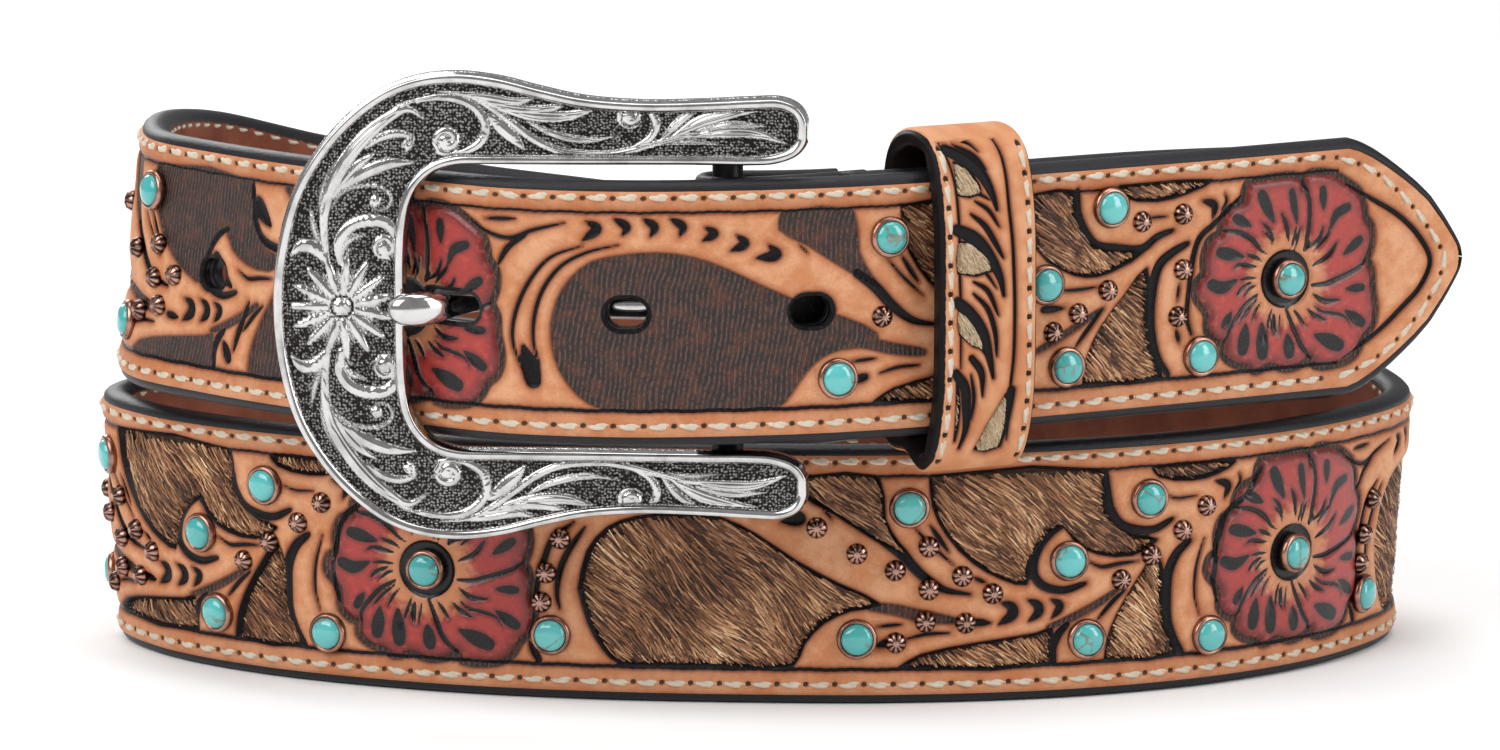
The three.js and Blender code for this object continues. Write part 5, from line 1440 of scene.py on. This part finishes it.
# Outline from the side. Columns: back from the front, up from the bottom.
KEEPER_OUTLINE = [
    (0, 24.6), (0.4, 12), (1.9, 5.4), (4, 1.7), (7.5, 0), (10.2, 0.8), (12.2, 2.1), (15.8, 2.15),
    (18.3, 3), (19.3, 5.4), (19.3, 16), (19.3, 32), (19.1, 42), (17.1, 46.8), (12.6, 49.2),
    (7, 49), (3.8, 47.2), (1.9, 43.8), (0.4, 37),
]
KEEPER_STITCHES, KEEPER_PITCH = (1.05, 13.9), 4.1
KEEPER_CUTS = [
    ("rim", 0.4, [(1.3, 49), (2.4, 43.2), (2.6, 38.3), (2.6, 29.8), (2.8, 24), (2.8, 15.8)]),
    ("rim", 0.5, [(10.1, 49.2), (10.8, 45.4), (10.9, 38.3), (11.3, 32.7), (11.6, 24.2), (11.5, 17.2),
                  (11.1, 12.3), (11.5, 4.5)]),
    ("drop", 2.0, [(8.9, 38.3), (8.5, 40), (6.8, 43.7), (4.2, 46), (2.3, 47)]),
    ("drop", 2.0, [(9.8, 25.9), (9.2, 28.5), (7.2, 32), (5, 34.4), (2.3, 35.8)]),
    ("drop", 1.9, [(8.2, 14.1), (7.5, 17.2), (6.4, 20.7), (4.1, 23.8), (2.3, 25.4)]),
    ("drop", 1.6, [(3.9, 3.8), (4.4, 6.6), (4.1, 10.1), (3.6, 13), (2.1, 15.1)]),
    ("drop", 1.6, [(10.7, 3.5), (10.9, 9), (11.3, 12)]),
    ("knife", 0.5, [(2.8, 40.7), (4.9, 41), (6.7, 40.4), (7.9, 39.7)]),
    ("knife", 0.5, [(2.4, 29.6), (4.6, 30.1), (6.5, 29.6), (8.6, 27)]),
    ("knife", 0.5, [(2.7, 20.8), (4.7, 20), (6.1, 18.6), (7.1, 17.2)]),
    ("knife", 0.5, [(4.1, 48.4), (6.2, 47.7), (7.2, 46.5)]),
    ("knife", 0.7, [(3.6, 47.7), (6.4, 46), (7.9, 43.9)]),
    ("knife", 0.6, [(5.4, 39.7), (7.5, 38.3), (9.1, 35.8)]),
    ("knife", 0.9, [(4.6, 37.9), (6.7, 36.2), (8.5, 33.4), (9.7, 31.3)]),
    ("knife", 0.7, [(4.8, 28.2), (7.1, 26.8), (8.9, 23.1)]),
    ("knife", 0.8, [(4.8, 26.5), (7.1, 24.2), (8.4, 20.7), (8.7, 17.2)]),
    ("drop", 1.1, [(6.6, 11.5), (6.2, 15.1), (4.6, 17.2)]),
    ("knife", 0.6, [(4.5, 14.8), (5.2, 11.5), (5.1, 8)]),
]
KEEPER_WINDOWS = [
    [(2.9, 45.3), (2.85, 41.8), (2.85, 40.7), (6.5, 40.7), (5.7, 43.2), (4, 45)],
    [(2.6, 34), (2.4, 29.6), (7.9, 29.6), (6.6, 32), (4.5, 33.8)],
    [(2.5, 24.2), (2.7, 20.7), (6.6, 18.3), (5.7, 20.7), (3.7, 23.5)],
    [(2.3, 14), (3, 10), (2.9, 5)],
    [(10.5, 11.5), (6.6, 3.4), (10.5, 3.4)],
]


def keeper_frame():
    """The keeper's corner and its directions back, up and along."""
    along = unit(follow(KEEPER_S, ALONG) * [1, 1, 0])
    out = unit(follow(KEEPER_S, OUT) * [1, 1, 0])
    corner = on_strap(KEEPER_S, 0.0, KEEPER_FRONT) * [1, 1, 0] + [0, 0, KEEPER_BOTTOM]
    return corner, -out, along


def on_keeper(depth, height, across):
    """A place on the keeper: back from its front, up from its bottom, across from its left."""
    corner, back, along = keeper_frame()
    depth, height, across = np.broadcast_arrays(depth, height, across)
    return (corner + depth[..., None] * back + height[..., None] * np.array([0, 0, 1])
            + (across[..., None] - KEEPER_WIDTH / 2) * along)


def keeper_heights(a, h, in_front):
    """Relief of the keeper's face and its ink distances."""
    ink = {name: np.full(a.shape, 9.0) for name in ("black", "window", "stitch")}
    for kind, width, points in KEEPER_CUTS:
        ink["black"] = np.minimum(ink["black"], from_strip(a, h, points, width, kind))
    for points in KEEPER_WINDOWS:
        ink["window"] = np.minimum(ink["window"], from_patch(a, h, points, 2))
    k = np.abs((h / KEEPER_PITCH) % 1 - 0.5) * KEEPER_PITCH
    for line in KEEPER_STITCHES:
        ink["stitch"] = np.minimum(ink["stitch"], np.hypot(k * 0.8, a - line) - 0.42)
    ink["black"] = np.minimum(ink["black"], np.abs(ink["window"] + 0.1) - 0.28)
    for name in ink:
        ink[name] = np.where(in_front, ink[name], 9.0)
    edge = np.minimum(a, KEEPER_WIDTH - a)
    lift = -0.30 * np.exp(-np.maximum(np.minimum(ink["black"], ink["window"]), 0) / 0.5)
    lift -= 0.4 * step_up(-ink["black"], -0.1, 0.3)
    lift -= 0.45 * step_up(-ink["stitch"], -0.15, 0.25)
    lift = np.where(ink["window"] < -0.1, -0.95, lift)
    return lift - 0.9 * (1 - step_up(edge, 0.0, 1.0)) ** 2, ink


def keeper_piece(material):
    loop = smooth_curve(KEEPER_OUTLINE + [KEEPER_OUTLINE[0]], 40)[:-1]
    step = np.hypot(*(np.roll(loop, -1, 0) - loop).T)
    run = np.concatenate([[0], np.cumsum(step)])
    closed = np.vstack([loop, loop[:1]])
    front_rows = np.linspace(0, 26.5, 175)
    back_rows = np.linspace(27.1, run[-1] - 27.1, 90)
    at = np.concatenate([front_rows, back_rows, run[-1] - front_rows[:0:-1]])
    line = np.stack([np.interp(at, run, closed[:, k]) for k in (0, 1)], 1)
    ahead = unit(np.roll(line, -1, 0) - np.roll(line, 1, 0))
    inward = ahead[:, ::-1] * [-1, 1]
    a = np.linspace(0, KEEPER_WIDTH, 96)[None]
    h = np.repeat(line[:, 1:], 96, 1)
    lift, ink = keeper_heights(a + 0 * h, h, (line[:, :1] < 5) & (a > -1))
    depth = line[:, :1] - inward[:, :1] * lift
    height = line[:, 1:] - inward[:, 1:] * lift
    outer = on_keeper(depth, height, a + 0 * h)
    wall = KEEPER_WALL + 1.2 * (1 - step_up(line[:, 0], 1.5, 6))
    inner = []
    for across, share in ((KEEPER_WIDTH, 0.4), (KEEPER_WIDTH, 0.8), (KEEPER_WIDTH - 0.5, 1),
                          (KEEPER_WIDTH / 2, 1), (0.5, 1), (0, 0.8), (0, 0.4)):
        into = inward * (wall * share)[:, None]
        inner.append(on_keeper(line[:, 0] + into[:, 0], line[:, 1] + into[:, 1],
                               np.full(len(line), across)))
    points = np.concatenate([outer, np.stack(inner, 1)], 1)
    count, ring = points.shape[:2]
    i, j = np.meshgrid(np.arange(count), np.arange(ring), indexing="ij")
    i2, j2 = (i + 1) % count, (j + 1) % ring
    faces = np.stack([i * ring + j, i * ring + j2, i2 * ring + j2, i2 * ring + j], -1)

    def whole(values, inside):
        return np.concatenate([values + 0 * h, np.full((count, 7), inside)], 1).ravel()
    marks = {"along": whole(a, 0.0), "across": whole(h, 5.0), "wall": whole(0.0 * a, 1.0)}
    marks["edge"] = whole(np.minimum(a, KEEPER_WIDTH - a), 0.0)
    # Points on the inside of the loop, which the material paints near black as painted shade.
    marks["inside"] = np.concatenate([0 * h, np.tile([0, 0, 1, 1, 1, 0, 0], (count, 1))], 1).ravel()
    marks.update({name: whole(values, 9.0) for name, values in ink.items()})
    return add_piece("keeper_leather", points.reshape(-1, 3), faces.reshape(-1, 4), material, marks)


def keeper_leather():
    """The strap's tan and black, with wider painted edges, and its inside painted near black as painted shade."""
    material, tree, shader = new_material("keeper_leather")
    place = strap_place(tree)
    grain = noise(tree, place, 3.2, 6, 0.7)
    colour = mix(tree, ramp(tree, noise(tree, place, 0.2, 4), 0.35, 0.68), TAN, PALE_TAN)
    colour = mix(tree, sums(tree, "MULTIPLY", ramp(tree, grain, 0.52, 0.75), 0.35), colour, BURNT)
    near = sums(tree, "MINIMUM", mark(tree, "black"), mark(tree, "window"))
    tight = ramp(tree, near, 0.42, 0.06, 0, 0.75)
    near = sums(tree, "ADD", near, sums(tree, "MULTIPLY", noise(tree, place, 1.1, 3), 0.5))
    colour = mix(tree, ramp(tree, near, 1.5, 0.15, 0, 0.6), colour, BURNT)
    colour = mix(tree, tight, colour, SCORCHED)
    inked = ramp(tree, mark(tree, "black"), 0.07, -0.05)
    # Needle holes are painted near black: painted shade in the holes.
    inked = sums(tree, "MAXIMUM", inked, ramp(tree, mark(tree, "stitch"), 0.1, -0.1, 0, 0.93))
    ragged = sums(tree, "ADD", mark(tree, "edge"), sums(tree, "MULTIPLY", noise(tree, place, 0.9, 4), 0.3))
    inked = sums(tree, "MAXIMUM", inked, ramp(tree, ragged, 0.6, 0.5))
    inked = sums(tree, "MAXIMUM", inked, mark(tree, "wall"))
    colour = mix(tree, inked, colour, INK_BLACK)
    # The loop's inside is painted near black: painted shade where it lies in the loop's own shadow.
    colour = mix(tree, mark(tree, "inside"), colour, (0.022, 0.012, 0.010))
    colour = mix(tree, ramp(tree, mark(tree, "window"), -0.15, -0.3), colour, (0.33, 0.21, 0.11))
    rough = sums(tree, "SUBTRACT", 0.56, sums(tree, "MULTIPLY", inked, 0.22))
    finish_shader(tree, shader, colour, rough, bump(tree, grain, 0.6, 0.12))
    tree.links.new(sums(tree, "SUBTRACT", 0.32, sums(tree, "MULTIPLY", inked, 0.22)),
                   shader.inputs["Specular IOR Level"])
    return material


keeper = hand_over(keeper_piece(keeper_leather()), "tooled_leather", "keeper_skin", "keeper_base",
                   "keeper_hide")

# %% Hair and stitches of the keeper


def front_depth(h):
    """How far back the keeper's front is at a height."""
    line = smooth_curve(KEEPER_OUTLINE + [KEEPER_OUTLINE[0]], 12)
    front = line[(line[:, 0] < 5)]
    front = front[np.argsort(front[:, 1])]
    return np.interp(h, front[:, 1], front[:, 0])


def keeper_hair(material):
    """Pale hair combed downwards in the keeper's windows."""
    roots, tips = [], []
    for loop in KEEPER_WINDOWS:
        low, high = np.min(loop, 0), np.max(loop, 0)
        count = int(26 * np.prod(high - low))
        root = low + random.random((count, 2)) * (high - low)
        turn = np.radians(-62 + random.normal(0, 8, count))
        step = np.stack([np.cos(turn), np.sin(turn)], 1) * random.uniform(1.6, 3.6, (count, 1))
        kept = from_patch(root[:, 0], root[:, 1], loop, 2) < -0.1
        root, step = root[kept], step[kept]
        for _ in range(4):
            outside = from_patch(*(root + step).T, loop, 2) > 0.15
            step = np.where(outside[:, None], step * 0.6, step)
        roots.append(root)
        tips.append(root + step)
    root, tip = np.concatenate(roots), np.concatenate(tips)
    count = len(root)
    arch = random.uniform(0.1, 0.45, count)

    def seat(across, h, lift):
        return on_keeper(front_depth(h) + 0.85 - lift, h, across)
    points = ribbons(root, tip, random.uniform(0.1, 0.16, count), arch, seat)
    k = np.arange(count)[:, None] * 5
    tone = np.clip(random.normal(0.5, 0.25, count), 0, 1)[:, None]
    shade = np.array([0.30, 0.18, 0.09]) * (1 - tone) + np.array([0.80, 0.64, 0.42]) * tone
    shade = np.repeat(np.concatenate([shade, np.ones((count, 1))], 1), 5, 0)
    return add_piece("keeper_hair", points.reshape(-1, 3), [k + [0, 1, 3, 2], k + [2, 3, 4]],
                     material, {"shade": shade}, smooth=False)


def keeper_thread(material):
    """Stitches down both sides of the keeper's front."""
    shape, faces = stitch_shape(6, 5)
    h = np.arange(1, int(47.5 / KEEPER_PITCH) + 1) * KEEPER_PITCH
    points = []
    for across in KEEPER_STITCHES:
        for height in h:
            ends = np.clip(height + shape[:, 0], 0.6, 48.4)
            points.append(on_keeper(front_depth(ends) - shape[:, 2] * 0.9 + 0.12, ends,
                                    across + shape[:, 1]))
    points = np.concatenate(points)
    return add_piece("keeper_stitches", points, repeat_faces(faces[:, ::-1], 2 * len(h), len(shape)),
                     material)


hand_over(keeper_hair(hair), "hair_on_hide")
hand_over(keeper_thread(thread), "lining_leather")

# %% [markdown]
# The belt stands on a pale floor under soft studio light. The camera is far off with a long
# lens, so edges stay nearly parallel, and its place was worked out from the photograph.

# %% Floor, lights and camera
bpy.ops.mesh.primitive_plane_add(size=60, location=(0, 0, 0))
floor = bpy.context.object
floor.name = "floor"
material, tree, shader = new_material("pale_floor")
finish_shader(tree, shader, (0.93, 0.93, 0.93), 0.9, None, Specular_IOR_Level=0.1)
floor.data.materials.append(material)


def area_light(name, place, aim, size, power, colour=(1, 1, 1)):
    """A rectangular studio light at a place in metres, aimed at a point."""
    bpy.ops.object.light_add(type="AREA", location=place)
    light = bpy.context.object
    light.name = name
    light.data.shape = "RECTANGLE"
    light.data.size, light.data.size_y = size
    light.data.energy = power
    light.data.color = colour
    towards = mathutils.Vector(aim) - mathutils.Vector(place)
    light.rotation_euler = towards.to_track_quat("-Z", "Y").to_euler()
    return light


AIM = (0, 0, 0.05)
area_light("key_light", (-0.75, -0.7, 0.85), AIM, (1.1, 0.9), 13)
area_light("side_light", (1.0, -0.5, 0.5), AIM, (0.4, 1.0), 6)
area_light("top_light", (0.1, 0.1, 1.1), AIM, (1.2, 0.6), 7)
area_light("back_light", (-0.4, 0.9, 0.5), AIM, (0.6, 0.4), 4)
world = bpy.data.worlds.new("studio")
bpy.context.scene.world = world
world.use_nodes = True
background = world.node_tree.nodes["Background"]
background.inputs["Color"].default_value = (1, 1, 1, 1)
background.inputs["Strength"].default_value = 0.32
bpy.context.scene.view_settings.view_transform = "Standard"

camera_data = bpy.data.cameras.new("camera")
camera = bpy.data.objects.new("camera", camera_data)
bpy.context.scene.collection.objects.link(camera)
camera_data.lens, camera_data.sensor_width = 225.48, 36
camera.location = (np.array([0.66, -1386.8, 261.4]) + SHIFT) * MM
camera.rotation_euler = (math.radians(90 - 9.056), 0, 0)
bpy.context.scene.camera = camera
